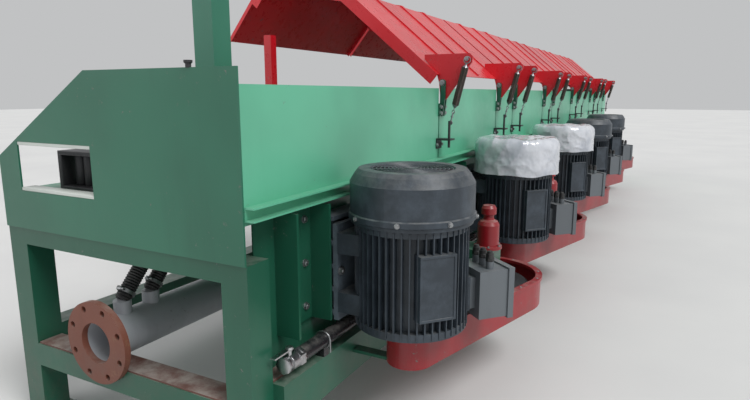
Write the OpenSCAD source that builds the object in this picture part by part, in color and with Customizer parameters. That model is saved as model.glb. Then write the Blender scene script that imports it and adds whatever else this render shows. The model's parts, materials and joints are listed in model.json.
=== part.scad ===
// Straight wire drawing machine: one entry section and a row of drawing blocks.
// The row runs along X with the entry end at +X. The motor side faces +Y, the
// operator side faces -Y, and the floor is at Z = 0. A place along the row is
// given as u, the distance from the outer face of the entry end plate.

/* [Row] */
// Length of the entry section
entry_len = 1380; // [1320:10:1500]
// Length of one drawing block along the row
block_len = 1345; // [1320:5:1420]
// Number of drawing blocks
blocks = 5; // [2:1:5]
// Depth of the machine from the motor side to the operator side
row_depth = 1150; // [1120:10:1250]

/* [Frame] */
// Side of the square legs
leg_w = 96; // [80:2:110]
// Top of the long lower side beams
low_beam_top = 345; // [330:5:350]
// Height of the long lower side beams
low_beam_h = 140; // [100:10:180]
// How far the rear side beam stands out past the wall
beam_out = 40; // [20:5:45]
// Top of the rail that carries the end plates
rail_top = 734; // [700:2:760]
// Height of that rail
rail_h = 60; // [50:2:80]
// Top of the deck plate
deck_top = 860; // [850:5:880]
// Thickness of the deck plate
deck_t = 12; // [8:1:20]
// Thickness of the foot plates
foot_t = 12; // [8:1:20]

/* [Walls] */
// Top of the flat part of the end plates
end_top = 1270; // [1262:1:1280]
// Thickness of the end plates
end_t = 6; // [4:1:10]
// Depth of the flat top of an end plate
end_flat = 606; // [560:2:640]
// Slope of the front corner of an end plate
end_slope = 30; // [24:1:34]
// Top of the rear wall
wall_top = 1225; // [1215:1:1230]
// Thickness of the rear wall sheets
wall_t = 4; // [2:1:6]
// Top of the ledge channel under the rear wall
ledge_top = 900; // [890:2:920]
// How far the ledge stands out past the wall
ledge_out = 34; // [20:2:36]
// How far the lower back plates stand behind the wall face
recess = 56; // [40:2:70]
// Width of the wire window in the end plates
window_w = 380; // [300:10:420]
// Height of the wire window
window_h = 170; // [120:10:200]

/* [Hood] */
// Gap between two hoods
hood_gap = 34; // [20:2:60]
// Depth of the flat part of a hood from its hinge
hood_flat = 690; // [640:10:720]
// Depth of the sloped part of a hood
hood_front = 450; // [400:10:480]
// Height of the front skirt
skirt_h = 400; // [360:10:420]
// Thickness of the hood sheet
hood_t = 3; // [2:1:5]
// Depth of the box edge round a hood
hood_edge = 58; // [40:2:70]
// Angle at which the hoods stand open
open_angle = 40; // [30:1:45]
// Height of the hinge axis
hinge_z = 1250; // [1245:1:1255]
// How far the hinge axis stands out past the wall
hinge_y = 10; // [8:1:14]
// Diameter of the hinge pins
hinge_pin_d = 16; // [12:1:20]
// Clearance all round a hinge pin
hinge_gap = 0.3; // [0.2:0.05:0.5]
// Place of the first lug from the near edge of its block
lug_near = 45; // [40:1:60]
// Distance between the two lugs of a hood
lug_span = 949; // [900:1:1000]
// Thickness of a lug
lug_t = 10; // [8:1:14]

/* [Springs] */
// Distance of the spring pin from the hinge axis
spring_arm = 162; // [158:1:164]
// Height of the lower spring pin
spring_low_z = 1066; // [1060:1:1070]
// How far the lower spring pin stands out past the wall
spring_low_y = 58; // [54:1:62]
// Diameter of the spring pins
spring_pin_d = 10; // [8:1:12]
// Outer diameter of a spring
coil_d = 34; // [28:1:40]
// Inner diameter of the upper spring eye
eye_d = 24; // [24:1:26]

/* [Motors] */
// Place of the first motor along the row
motor_u = 532; // [520:2:560]
// How far the motor axes stand out past the wall
motor_y = 256; // [250:1:270]
// Top of the motors
motor_top = 965; // [940:5:980]
// Underside of the finned motor body
motor_bottom = 440; // [436:1:450]
// Diameter of the fan cowl
cowl_d = 420; // [400:2:424]
// Diameter over the fins
fin_d = 380; // [360:2:390]
// Height of the fan cowl
cowl_h = 180; // [150:5:200]
// Number of fin places round a motor
fin_count = 48; // [36:4:60]

/* [Belt guards] */
// Distance from a motor axis to the input shaft that it drives
belt_len = 730; // [700:2:760]
// Angle by which a belt guard turns away from the wall
belt_turn = 3.5; // [3:0.5:5]
// Radius of the small end of a belt guard
pan_small_r = 88; // [86:1:100]
// Radius of the large end of a belt guard
pan_large_r = 240; // [226:2:242]
// Underside of the belt guards
pan_bottom = 295; // [280:5:300]
// Height of the belt guards
pan_h = 125; // [110:5:125]

/* [Drums] */
// Diameter of the drawing drums
drum_d = 560; // [500:10:580]
// Distance of the drum axes from the wall
drum_in = 560; // [540:5:580]
// Top of the drums
drum_top = 1115; // [1080:5:1130]

/* [Water] */
// Diameter of the water return pipe
return_d = 150; // [140:2:156]
// Height of its axis
return_z = 385; // [383:1:388]
// Outer diameter of its flange
flange_d = 285; // [280:5:290]
// Bolt circle of the flange
flange_pcd = 240; // [236:2:244]
// Diameter of the flange holes
flange_hole_d = 22; // [18:1:24]
// Number of flange holes
flange_holes = 8; // [4:4:8]
// Diameter of the water feed pipe
feed_d = 50; // [40:2:52]

/* [Hidden] */
$fn = 48;

wall_green = [0.42, 0.78, 0.65];
frame_green = [0.13, 0.40, 0.31];
plate_green = [0.18, 0.45, 0.36];
hood_red = [0.85, 0.10, 0.15];
motor_blue = [0.18, 0.21, 0.25];

row_len = entry_len + blocks * block_len;
near_x = row_len / 2;
front_y = -row_depth + 50;
eps = 0.5;

// Place on X of a distance u from the entry end
function at(u) = near_x - u;
// Start of block i along the row
function block_u(i) = entry_len + (i - 1) * block_len;
// Places of the frames between the sections
frame_us = [for (i = [1:blocks]) block_u(i)];
// Axis of motor i and of the input shaft that it drives
function motor_at(i) = motor_u + (i - 1) * block_len;
function shaft_at(i) = motor_at(i) + belt_len * cos(belt_turn);
shaft_y = motor_y + belt_len * sin(belt_turn);
function drum_at(i) = block_u(i) + block_len / 2;
// The two lugs of hood i
function lugs(i) = [block_u(i) + lug_near, block_u(i) + lug_near + lug_span];

// A box from two opposite corners given as u, y and z
module span(u0, u1, y0, y1, z0, z1) {
    translate([at(u1), y0, z0]) cube([u1 - u0, y1 - y0, z1 - z0]);
}

// Clearance between a closed hood and what it closes over
hood_clear = 8;
// Underside of the long lower beams
low_beam_z = low_beam_top - low_beam_h;
// Height of the cross beams between them
cross_h = 80;
// Top of the beams between the end legs
end_beam_top = low_beam_z + cross_h + 13;
// Both long sides: the rear legs and the front legs start here in y
leg_rows = [-leg_w, front_y];
end_leg_us = [end_t + leg_w / 2, row_len - end_t - leg_w / 2];

// A square leg with its foot plate
module leg(u_mid, y0, top) {
    span(u_mid - leg_w / 2, u_mid + leg_w / 2, y0, y0 + leg_w, foot_t - eps, top);
    span(u_mid - leg_w / 2 - 22, u_mid + leg_w / 2 + 22, y0 - 22, y0 + leg_w + 22, 0, foot_t);
}

// Full legs at the ends, and between them short legs below the beams with posts above
module legs() {
    color(frame_green) for (y0 = leg_rows) {
        for (u = end_leg_us) leg(u, y0, rail_top - rail_h);
        for (u = frame_us) {
            leg(u, y0, low_beam_z);
            span(u - leg_w / 2, u + leg_w / 2, y0, y0 + leg_w, low_beam_top, deck_top - deck_t);
        }
    }
}

// The long lower beams, the rear one wider than its legs
module side_beams() {
    u0 = end_t + leg_w;
    color(frame_green) {
        span(u0, row_len - u0, -leg_w, beam_out, low_beam_z, low_beam_top);
        span(u0, row_len - u0, front_y, front_y + leg_w, low_beam_z, low_beam_top);
    }
}

// Beams across the machine
module cross_beams() {
    color(frame_green) {
        for (u = frame_us) span(u - 40, u + 40, front_y + leg_w, -leg_w, low_beam_z, low_beam_z + cross_h);
        for (u = end_leg_us)
            span(u - leg_w / 2, u + leg_w / 2, front_y + leg_w, -leg_w, end_beam_top - 85, end_beam_top);
    }
}

// Rails on the end legs, each with a web up to the deck
module end_rails() {
    color(frame_green) for (u = end_leg_us) {
        span(u - leg_w / 2, u + leg_w / 2, front_y, 0, rail_top - rail_h, rail_top);
        span(u - 10, u + 10, front_y, -recess - 8, rail_top - eps, deck_top - deck_t);
    }
}

// Red oxide strips on top of the lower beams
module beam_strips() {
    color([0.40, 0.27, 0.24]) {
        cuts = concat([0], frame_us, [row_len]);
        for (k = [0:len(cuts) - 2])
            span(cuts[k] + 104, cuts[k + 1] - (k == blocks ? 104 : 50), -recess - 4, -4,
                 low_beam_top, low_beam_top + 6);
        span(end_t + 4, leg_w, front_y + leg_w + 4, -leg_w - 4, end_beam_top, end_beam_top + 6);
    }
}

// Depth of the strips along the top and the foot of a wire window
window_lip = 6;
// Foot of the wire windows
window_z = deck_top + 10;
// Outline of an end plate in y and z
module end_outline() {
    drop = (row_depth - 50 - end_flat) * tan(end_slope);
    polygon([[0, rail_top], [0, end_top], [-end_flat, end_top], [front_y, end_top - drop], [front_y, rail_top]]);
}

// An end plate with its wire window, its outer face at u
module end_plate(u_out, turn) {
    translate([at(u_out), 0, 0]) rotate([90, 0, 90]) translate([0, 0, turn > 0 ? -end_t : 0])
        linear_extrude(end_t) difference() {
            end_outline();
            translate([-end_flat - window_w, window_z]) square([window_w, window_h]);
        }
    in0 = turn > 0 ? end_t : -end_t - window_lip;
    for (z0 = [window_z - 10, window_z + window_h])
        span(u_out + in0, u_out + in0 + window_lip, -end_flat - window_w, -end_flat, z0, z0 + 10);
}
module end_plate_near() { color(plate_green) end_plate(0, 1); }
module end_plate_far() { color(plate_green) end_plate(row_len, -1); }

// A rear wall panel with folded side edges
module wall_panel(u0, u1, notches) {
    difference() {
        union() {
            span(u0, u1, -wall_t, 0, ledge_top, wall_top);
            for (u = [u0, u1 - wall_t]) span(u, u + wall_t, -26, -wall_t, ledge_top, wall_top);
        }
        for (u = notches) span(u - 22, u + 22, -40, 5, wall_top - 70, wall_top + 5);
    }
}
// Slots between the panels, beside each lug
slot_w = 12;
slot_off = 30;
wall_slots = [for (i = [1:blocks]) for (u = lugs(i)) u - slot_off];
module rear_walls() {
    cuts = concat([end_t - slot_w], wall_slots, [row_len - end_t]);
    lug_us = [for (u = wall_slots) [u + slot_off]];
    color(wall_green) for (k = [0:len(cuts) - 2])
        wall_panel(cuts[k] + slot_w, cuts[k + 1], k == 0 ? [] : lug_us[k - 1]);
}

// Posts behind the slots, under the hinge brackets
module hinge_posts() {
    color(frame_green) for (u = wall_slots)
        span(u - 20, u + slot_w + 20, -62, -27, ledge_top, wall_top - 75);
}

// The ledge channel along the foot of the rear wall
module wall_ledge() {
    color(wall_green) difference() {
        span(end_t, row_len - end_t, -60, ledge_out, deck_top, ledge_top);
        span(end_t - 1, row_len - end_t + 1, 4, ledge_out + 5, deck_top + 5, ledge_top - 5);
    }
}

// A post of channel section with its flanges outward
post_t = 10;
post_gap = 98;
module channel_post(u0, u1) {
    top = deck_top - deck_t;
    difference() {
        span(u0, u1, -recess, 30, low_beam_top + 105, top);
        span(u0 + post_t, u1 - post_t, -recess + post_t, 35, low_beam_top + 100, top + 5);
    }
}
module channel_posts() {
    edges = concat([end_t + leg_w], [for (u = frame_us) u + leg_w / 2]);
    color(frame_green) for (k = [0:blocks])
        channel_post(edges[k] + post_gap, motor_at(k + 1) - base_half - 4);
}

// Sheets set back below the ledge
module back_plates() {
    cuts = concat([leg_w / 2 + end_t], frame_us, [row_len - leg_w / 2 - end_t]);
    color(frame_green) for (k = [0:len(cuts) - 2])
        span(cuts[k] + leg_w / 2, cuts[k + 1] - leg_w / 2, -recess - 4, -recess, low_beam_top + 6, deck_top - deck_t);
}

// Sheets below the deck on the operator side
panel_t = 3;
module front_panels() {
    cuts = concat(frame_us, [row_len]);
    color(plate_green) for (k = [0:blocks - 1])
        span(cuts[k] + 2, cuts[k + 1] - (k == blocks - 1 ? end_t : 2),
             front_y - panel_t, front_y, low_beam_top - 60, deck_top - deck_t);
}

// The deck plate, with the wire running above it
module deck() {
    color(wall_green) difference() {
        span(end_t, row_len - end_t, front_y, 0, deck_top - deck_t, deck_top);
        for (i = [1:blocks]) translate([at(drum_at(i)), -drum_in, 0]) cylinder(d = 120, h = deck_top + 5);
    }
}

// Height of the drums' lower flange above the deck
drum_lift = 72;
// Gear housings under the deck, with the drum shaft boss
module gearboxes() {
    color(frame_green) for (i = [1:blocks]) {
        span(drum_at(i) - 260, drum_at(i) + 240, -drum_in - 240, -drum_in + 260, 600, deck_top - deck_t);
        translate([at(drum_at(i)), -drum_in, deck_top - deck_t - eps])
            cylinder(d = 110, h = deck_t + eps + drum_lift);
    }
}

// Box brackets that carry the input shaft housings
module shaft_brackets() {
    color(frame_green) for (i = [1:blocks]) {
        u = shaft_at(i);
        difference() {
            span(u - 70, u + 70, 0, shaft_y + 40, 452, 526);
            span(u - 60, u + 60, -5, shaft_y - 70, 462, 516);
            translate([at(u), shaft_y, 440]) cylinder(d = 70.6, h = 100);
        }
    }
}

// Stepped red housings round the input shafts
module shaft_housings() {
    color(hood_red) for (i = [1:blocks]) translate([at(shaft_at(i)), shaft_y, 0]) rotate_extrude()
        polygon([[0, 396], [35, 396], [35, 526], [62, 526], [62, 538], [48, 540], [48, 632], [40, 648],
                 [25, 656], [22, 666], [25, 676], [33, 680], [33, 706], [26, 718], [0, 718]]);
}

// Ribbed castings between the back plates and the motors
base_bottom = 450;
base_top = motor_top - cowl_h - 5;
// Half width of a casting
base_half = 138;
module motor_bases() {
    color(motor_blue) for (i = [1:blocks]) {
        u = motor_at(i);
        span(u - base_half, u + base_half, -recess, -recess + 24, base_bottom, base_top + 10);
        for (s = [-1, 1]) span(u + s * 104 - 12, u + s * 104 + 12, -recess + 20, 52, base_bottom, base_top);
        for (z = [470:80:790]) span(u - base_half, u + base_half, -recess + 20, 36, z, z + 14);
        span(u - base_half, u + base_half, 34, 52, base_bottom, base_top);
    }
}

// Directions of the raised pad and of the terminal box about the motor axis
pad_turn = 49;
box_turn = 138;
// One motor body with fins, end shield, boss and feet, on its own axis
module motor_body() {
    body_top = motor_top - cowl_h + 8;
    translate([0, 0, motor_bottom]) cylinder(d = fin_d - 50, h = body_top - motor_bottom);
    translate([0, 0, motor_bottom]) cylinder(d = fin_d - 6, h = 26);
    translate([0, 0, body_top - 22]) cylinder(d = fin_d - 6, h = 22);
    translate([0, 0, motor_bottom - 18]) cylinder(d = 250, h = 19);
    translate([0, 0, motor_bottom - 40]) cylinder(d = 2 * drive_r - 4, h = 41);
    for (k = [0:fin_count - 1])
        rotate([0, 0, k * 360 / fin_count]) translate([fin_d / 2 - 30, -2, motor_bottom + 6])
            cube([30, 4, body_top - motor_bottom - 12]);
    rotate([0, 0, pad_turn]) translate([fin_d / 2 - 40, -62, motor_bottom + 70]) cube([44, 124, 210]);
    rotate([0, 0, box_turn]) translate([fin_d / 2 - 40, -55, motor_bottom + 28]) cube([46, 110, 120]);
    for (z = [motor_bottom + 40, body_top - 110])
        translate([-140, -motor_y + 52, z]) cube([280, motor_y - 52 - 120, 70]);
}
module motor_bodies() {
    color(motor_blue) for (i = [1:blocks]) translate([at(motor_at(i)), motor_y, 0]) motor_body();
}

// Fan cowls with a recessed grille
module motor_cowls() {
    z0 = motor_top - cowl_h + 8;
    r = cowl_d / 2;
    color(motor_blue) for (i = [1:blocks]) translate([at(motor_at(i)), motor_y, 0]) rotate_extrude()
        polygon([[0, z0], [r - 8, z0], [r - 8, z0 + 10], [r, z0 + 14], [r, z0 + 30], [r - 5, z0 + 34],
                 [r - 5, motor_top - 42], [r - 22, motor_top - 14], [r - 34, motor_top], [r - 70, motor_top],
                 [r - 74, motor_top - 8], [0, motor_top - 8]]);
}

// Loose plastic covers over two of the cowls
module cowl_films() {
    r = cowl_d / 2;
    z0 = motor_top - cowl_h;
    color([0.85, 0.86, 0.88]) for (i = [2:min(3, blocks)]) translate([at(motor_at(i)), motor_y, 0])
        rotate_extrude() polygon([[0, motor_top + 0.3], [r - 33, motor_top + 0.3], [r - 20, motor_top - 12],
            [r - 3, motor_top - 40], [r + 1, z0 + 46], [r + 1, base_top + 2], [r + 6, base_top + 2],
            [r + 8, motor_top - 50], [r - 10, motor_top - 4], [r - 28, motor_top + 10], [0, motor_top + 12]]);
}

// Terminal boxes on the aisle side, turned away along the row
box_z = motor_bottom;
box_h = 168;
module terminal_boxes() {
    color([0.62, 0.64, 0.66]) for (i = [1:blocks])
        translate([at(motor_at(i)), motor_y, 0]) rotate([0, 0, box_turn]) {
            translate([fin_d / 2 + 6, -50, box_z + 32]) cube([24, 100, 110]);
            translate([fin_d / 2 + 28, -80, box_z]) cube([110, 160, box_h]);
            translate([fin_d / 2 + 138, -86, box_z - 6]) cube([22, 172, box_h + 12]);
            for (s = [-1, 0, 1]) translate([fin_d / 2 + 84, s * 46, box_z + box_h - eps]) cylinder(d = 28, h = 26);
        }
}

// Points of an arc about a middle point, in n steps
function arc(mid, r, from, to, n) =
    [for (k = [0:n]) let (a = from + (to - from) * k / n) mid + r * [cos(a), sin(a)]];
// Plan outline round two wheels, the small one at the motor axis, drawn along +x
function round_two(small, big) = let (lean = asin((big - small) / belt_len)) concat(
    arc([belt_len, 0], big, -90 - lean, 90 + lean, 40),
    arc([0, 0], small, 90 + lean, 270 - lean, 24));
module guard_outline(grow) { polygon(round_two(pan_small_r + grow, pan_large_r + grow)); }
// Places what follows along the belt of motor i
module along_belt(i) {
    translate([at(motor_at(i)), motor_y, 0]) rotate([0, 0, 180 - belt_turn]) children();
}
module belt_guards() {
    color(hood_red) for (i = [1:blocks]) along_belt(i) {
        difference() {
            translate([0, 0, pan_bottom]) linear_extrude(pan_h) guard_outline(-6);
            translate([0, 0, pan_bottom + 5]) linear_extrude(pan_h) guard_outline(-10);
        }
        difference() {
            translate([0, 0, pan_bottom + pan_h - 14]) linear_extrude(14) guard_outline(0);
            translate([0, 0, pan_bottom + pan_h - 20]) linear_extrude(30) guard_outline(-28);
        }
    }
}

// Bars that carry the belt guards from the side beam
module guard_arms() {
    color(frame_green) for (i = [1:blocks]) {
        span(motor_at(i) - 20, motor_at(i) + 20, beam_out, motor_y + 60, pan_bottom - 12, pan_bottom);
        span(shaft_at(i) - 130, shaft_at(i) - 90, beam_out, shaft_y + 120, pan_bottom - 12, pan_bottom);
        span(shaft_at(i) + 90, shaft_at(i) + 130, beam_out, shaft_y + 120, pan_bottom - 12, pan_bottom);
    }
}

// Pulleys and belts inside the guards
drive_r = 50;
shaft_r = 170;
belt_z = pan_bottom + 30;
module pulleys() {
    color([0.3, 0.3, 0.32]) for (i = [1:blocks]) {
        translate([at(motor_at(i)), motor_y, belt_z]) cylinder(r = drive_r, h = motor_bottom - 40 - belt_z);
        translate([at(shaft_at(i)), shaft_y, belt_z]) {
            cylinder(r = shaft_r, h = 60);
            cylinder(r = 60, h = 396 - belt_z);
        }
    }
}
module belt_ring(grow) { polygon(round_two(drive_r + grow, shaft_r + grow)); }
module belts() {
    color([0.08, 0.08, 0.08]) for (i = [1:blocks]) along_belt(i) for (z = [belt_z + 8, belt_z + 34])
        translate([0, 0, z]) linear_extrude(18) difference() {
            belt_ring(10);
            belt_ring(0.3);
        }
}

// Hinge brackets: two ears and a pin on a back plate
ear_gap = 2;
ear_t = 8;
module hinge_bracket(u) {
    x = at(u);
    out = lug_t / 2 + ear_gap;
    for (s = [-1, 1]) translate([x + (s > 0 ? out : -out - ear_t), 0, 0])
        rotate([90, 0, 90]) linear_extrude(ear_t)
            polygon([[0, 1096], [14, 1096], [hinge_y + 16, 1190], [hinge_y + 16, hinge_z + 8],
                     [hinge_y + 8, hinge_z + 16], [0, hinge_z + 16]]);
    translate([x - out - ear_t, hinge_y, hinge_z]) rotate([0, 90, 0])
        cylinder(d = hinge_pin_d, h = 2 * (out + ear_t));
    translate([x - 36, 0, 1096]) cube([72, 8, wall_top - 72 - 1096]);
}
module hinge_brackets() {
    color(frame_green) for (i = [1:blocks]) for (u = lugs(i)) hinge_bracket(u);
}

// Outline of a hood in its closed place about the hinge, set in by d
hood_z = 15 + hood_t;
function hood_line(d) = let (b = end_slope, z2 = hood_z - hood_front * tan(b)) [
    [-40, hood_z - d],
    [-hood_flat + d * tan(b / 2), hood_z - d],
    [-hood_flat - hood_front + d, z2 - d * tan((90 - b) / 2)],
    [-hood_flat - hood_front + d, z2 - skirt_h]];
function flip(a) = [for (k = [len(a) - 1:-1:0]) a[k]];
module hood_band(d0, d1) { polygon(concat(hood_line(d0), flip(hood_line(d1)))); }
// Side plate of a hood: deep above the deck, and below it a strip in front of the panels
module hood_side() {
    strip = row_depth - 50 + hinge_y;
    difference() {
        hood_band(0, hood_edge);
        translate([-strip - panel_t - hood_clear, -hinge_z]) square([strip, deck_top + hood_clear]);
    }
}

// The hood sheet with its box edges and ribs, between two places on X
module hood_shell(i) {
    u0 = block_u(i) + hood_gap / 2;
    w = block_len - hood_gap;
    translate([at(u0 + w), hinge_y, hinge_z]) rotate([-open_angle, 0, 0]) rotate([90, 0, 90]) {
        linear_extrude(w) hood_band(0, hood_t);
        for (x = [0, w - hood_t]) translate([0, 0, x]) linear_extrude(hood_t) hood_side();
        for (k = [1:3]) translate([0, 0, k * w / 4 - 15]) linear_extrude(30) intersection() {
            hood_band(-6, 0.5);
            translate([-hood_flat - hood_front + 20, -400]) square([hood_flat + hood_front - 80, 600]);
        }
    }
}

// Side on which the springs hang from their lugs
pin_side = 30;
spring_x = lug_t / 2 + 17;
lug_angle = 40.8;
spring_top = [hinge_y + spring_arm * cos(lug_angle), hinge_z + spring_arm * sin(lug_angle)];

// A lug with its spring pin, drawn as it stands with the hood open
module lug(u) {
    translate([at(u), 0, 0]) {
        difference() {
            translate([-lug_t / 2, hinge_y, hinge_z]) rotate([90, 0, 90]) linear_extrude(lug_t)
                polygon([[-96, 110], [-96, 132], [128, 132], [142, 118], [138, 92], [20, -72], [6, -80],
                         [-12, -72], [-20, 0], [-34, 48]]);
            translate([-lug_t, hinge_y, hinge_z]) rotate([0, 90, 0])
                cylinder(d = hinge_pin_d + 2 * hinge_gap, h = 3 * lug_t);
        }
        translate([-lug_t / 2 - 4, spring_top[0], spring_top[1]]) rotate([0, 90, 0])
            cylinder(d = spring_pin_d, h = lug_t + 4 + pin_side);
        translate([lug_t / 2 + pin_side - 5, spring_top[0], spring_top[1]]) rotate([0, 90, 0])
            cylinder(d = spring_pin_d + 8, h = 5);
    }
}
module hood(i) {
    color(hood_red) {
        hood_shell(i);
        for (u = lugs(i)) lug(u);
    }
}

// Lower spring pins on angle brackets
spring_low = [spring_low_y, spring_low_z];
module spring_bracket(u) {
    x = at(u) + spring_x;
    translate([x - 25, 0, 984]) cube([60, spring_low_y + 14, 8]);
    translate([x - 25, 0, 944]) cube([60, 6, 48]);
    translate([x + 14, spring_low_y, 950]) cylinder(d = 12, h = spring_low_z - 950 + 8);
    translate([x - 8, spring_low_y, spring_low_z]) rotate([0, 90, 0]) cylinder(d = spring_pin_d, h = 22);
}
module spring_brackets() {
    color([0.15, 0.16, 0.17]) for (i = [1:blocks]) for (u = lugs(i)) spring_bracket(u);
}

// Places what follows at the lower pin with z along the open spring
spring_run = spring_top - spring_low;
spring_len = norm(spring_run);
spring_lean = atan2(spring_run[0], spring_run[1]);
module along_spring(u) {
    translate([at(u) + spring_x, spring_low[0], spring_low[1]]) rotate([-spring_lean, 0, 0]) children();
}
// A flat ring across X
module eye(inner, outer, w) {
    translate([-w / 2, 0, 0]) rotate([0, 90, 0]) difference() {
        cylinder(d = outer, h = w);
        translate([0, 0, -1]) cylinder(d = inner, h = w + 2);
    }
}
coil_from = 84;
coil_to = 262;
module spring_coil(u) {
    along_spring(u) {
        eye(spring_pin_d + 1, spring_pin_d + 13, 7);
        translate([0, 0, 10.5]) cylinder(d = 6, h = coil_from + 4 - 10.5);
        difference() {
            translate([0, 0, coil_from]) cylinder(d = coil_d, h = coil_to - coil_from);
            translate([0, 0, coil_from + 8]) cylinder(d = coil_d - 12, h = coil_to - coil_from);
        }
    }
}
eye_low = 5;
module spring_hook(u) {
    along_spring(u) {
        translate([0, 0, spring_len - eye_low]) eye(eye_d, eye_d + 11, 7);
        translate([0, 0, coil_to - 70]) cylinder(d = 8, h = spring_len - eye_low - eye_d / 2 - 2 - coil_to + 70);
        translate([0, 0, coil_to - 70]) cylinder(d = coil_d - 13, h = 12);
    }
}
module spring_coils(i) { color([0.12, 0.12, 0.13]) for (u = lugs(i)) spring_coil(u); }
module spring_hooks(i) { color([0.35, 0.36, 0.38]) for (u = lugs(i)) spring_hook(u); }

// Drum seats on the deck and the turning drums
module drum_bases() {
    color(frame_green) for (i = [1:blocks]) translate([at(drum_at(i)), -drum_in, deck_top]) difference() {
        cylinder(d = drum_d + 10, h = drum_lift - 6, $fn = 96);
        translate([0, 0, -1]) cylinder(d = 130, h = 80);
    }
}
module drum(i) {
    color([0.8, 0.8, 0.82]) translate([at(drum_at(i)), -drum_in, 0]) {
        translate([0, 0, deck_top + drum_lift]) cylinder(d = drum_d + 50, h = 26, $fn = 96);
        translate([0, 0, deck_top + drum_lift]) cylinder(d = drum_d, h = drum_top - deck_top - drum_lift, $fn = 96);
    }
}

// Die boxes ahead of each drum
module die_boxes() {
    color(plate_green) for (i = [1:blocks])
        span(drum_at(i) - 560, drum_at(i) - 360, -drum_in - drum_d / 2 - 70, -drum_in - drum_d / 2 + 70,
             deck_top, deck_top + 130);
}

// The tall column of the entry section and the red guide post
module green_column() {
    color(frame_green) {
        span(570, 670, -710, -610, deck_top, 1950);
        span(540, 700, -740, -580, deck_top, deck_top + 12);
    }
}
module red_post() {
    color(hood_red) {
        span(1305, 1350, -950, -905, deck_top, 1500);
        span(1285, 1370, -970, -885, deck_top, deck_top + 10);
    }
}

// Water return pipe with its end flange
return_y = -640;
flange_t = 22;
// The flange stands just outside the end legs
flange_u = end_t - 2 - flange_t;
return_bore = return_d - 10;
return_foot = low_beam_z + cross_h;
stub_h = 40;
stub_top = return_z + return_d / 2 + stub_h;
// Places of the stubs: two at the end for the leaning hoses, and one ahead of each drum
end_stubs = [96, 216];
module return_pipe() {
    color([0.75, 0.77, 0.78]) difference() {
        union() {
            translate([at(row_len - 200), return_y, return_z]) rotate([0, 90, 0])
                cylinder(d = return_d, h = row_len - 200 - flange_u - flange_t);
            for (u = frame_us)
                span(u - 15, u + 15, return_y - 30, return_y + 30, return_foot, return_z - return_d / 2 + 4);
            for (u = concat(end_stubs, [for (i = [1:blocks]) drum_at(i) - 420]))
                translate([at(u), return_y, return_z + return_d / 2 - 20]) cylinder(d = 60, h = stub_h + 20);
        }
        translate([at(flange_u + 400), return_y, return_z]) rotate([0, 90, 0])
            cylinder(d = return_bore, h = 500);
    }
}
module return_flange() {
    color([0.42, 0.22, 0.15]) translate([at(flange_u + flange_t), return_y, return_z]) rotate([0, 90, 0])
        difference() {
            cylinder(d = flange_d, h = flange_t);
            translate([0, 0, -1]) cylinder(d = return_bore, h = flange_t + 2);
            for (k = [0:flange_holes - 1]) rotate([0, 0, (k + 0.5) * 360 / flange_holes])
                translate([flange_pcd / 2, 0, -1]) cylinder(d = flange_hole_d, h = flange_t + 2);
        }
}
// Hoses from the stubs up to the deck; those at the end lean away along the row
hose_d = 56;
hose_lean = 42;
module stub_hoses() {
    hose_h = deck_top - deck_t - stub_top;
    color([0.08, 0.08, 0.08]) {
        for (i = [1:blocks]) translate([at(drum_at(i) - 420), return_y, stub_top]) cylinder(d = hose_d, h = hose_h);
        for (u = end_stubs) intersection() {
            translate([at(u), return_y, stub_top]) rotate([0, -hose_lean, 0])
                translate([0, 0, -hose_d]) cylinder(d = hose_d, h = 3 * hose_h);
            span(u - hose_d, u + 3 * hose_h, return_y - hose_d, return_y + hose_d, stub_top, stub_top + hose_h);
        }
    }
}

// Water feed pipe on the rear side beam and its end valve
feed_y = 27;
feed_z = low_beam_top + 30 + feed_d / 2;
module feed_pipe() {
    color([0.10, 0.10, 0.11]) {
        translate([at(row_len - 200), feed_y, feed_z]) rotate([0, 90, 0]) cylinder(d = feed_d, h = row_len - 400);
        for (k = [0:blocks]) span(320 + k * block_len, 350 + k * block_len, feed_y - 20, beam_out, low_beam_top, feed_z - 20);
    }
}
module feed_valve() {
    color([0.65, 0.66, 0.67]) {
        translate([at(200), feed_y, feed_z]) rotate([0, 90, 0]) cylinder(d = 62, h = 26, $fn = 6);
        translate([at(174), feed_y, feed_z]) rotate([0, 90, 0]) cylinder(d = 44, h = 50);
        translate([at(150), feed_y, feed_z]) cylinder(d = 16, h = 44);
    }
    color(hood_red) translate([at(150) - 10, feed_y - 9, feed_z + 40]) cube([90, 18, 5]);
}

legs();
side_beams();
cross_beams();
end_rails();
beam_strips();
end_plate_near();
end_plate_far();
rear_walls();
hinge_posts();
wall_ledge();
channel_posts();
back_plates();
front_panels();
deck();
gearboxes();
shaft_brackets();
shaft_housings();
motor_bases();
motor_bodies();
motor_cowls();
cowl_films();
terminal_boxes();
belt_guards();
guard_arms();
belts();
pulleys();
hinge_brackets();
spring_brackets();
drum_bases();
die_boxes();
green_column();
red_post();
return_pipe();
return_flange();
stub_hoses();
feed_pipe();
feed_valve();
for (i = [1:blocks]) {
    hood(i);
    spring_coils(i);
    spring_hooks(i);
    drum(i);
}
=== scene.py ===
"""Looks of the straight wire drawing machine: finishes, fittings, light and camera.

The row runs along X with the entry end at +X. The motor side faces +Y, the operator
side faces -Y, and the floor is at Z = 0. All sizes are in metres.
"""

import json
import logging
import math
from contextlib import contextmanager
from dataclasses import dataclass, field
from enum import Enum
from typing import Iterator, Sequence

import bmesh
import bpy
from mathutils import Matrix, Vector, noise

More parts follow.
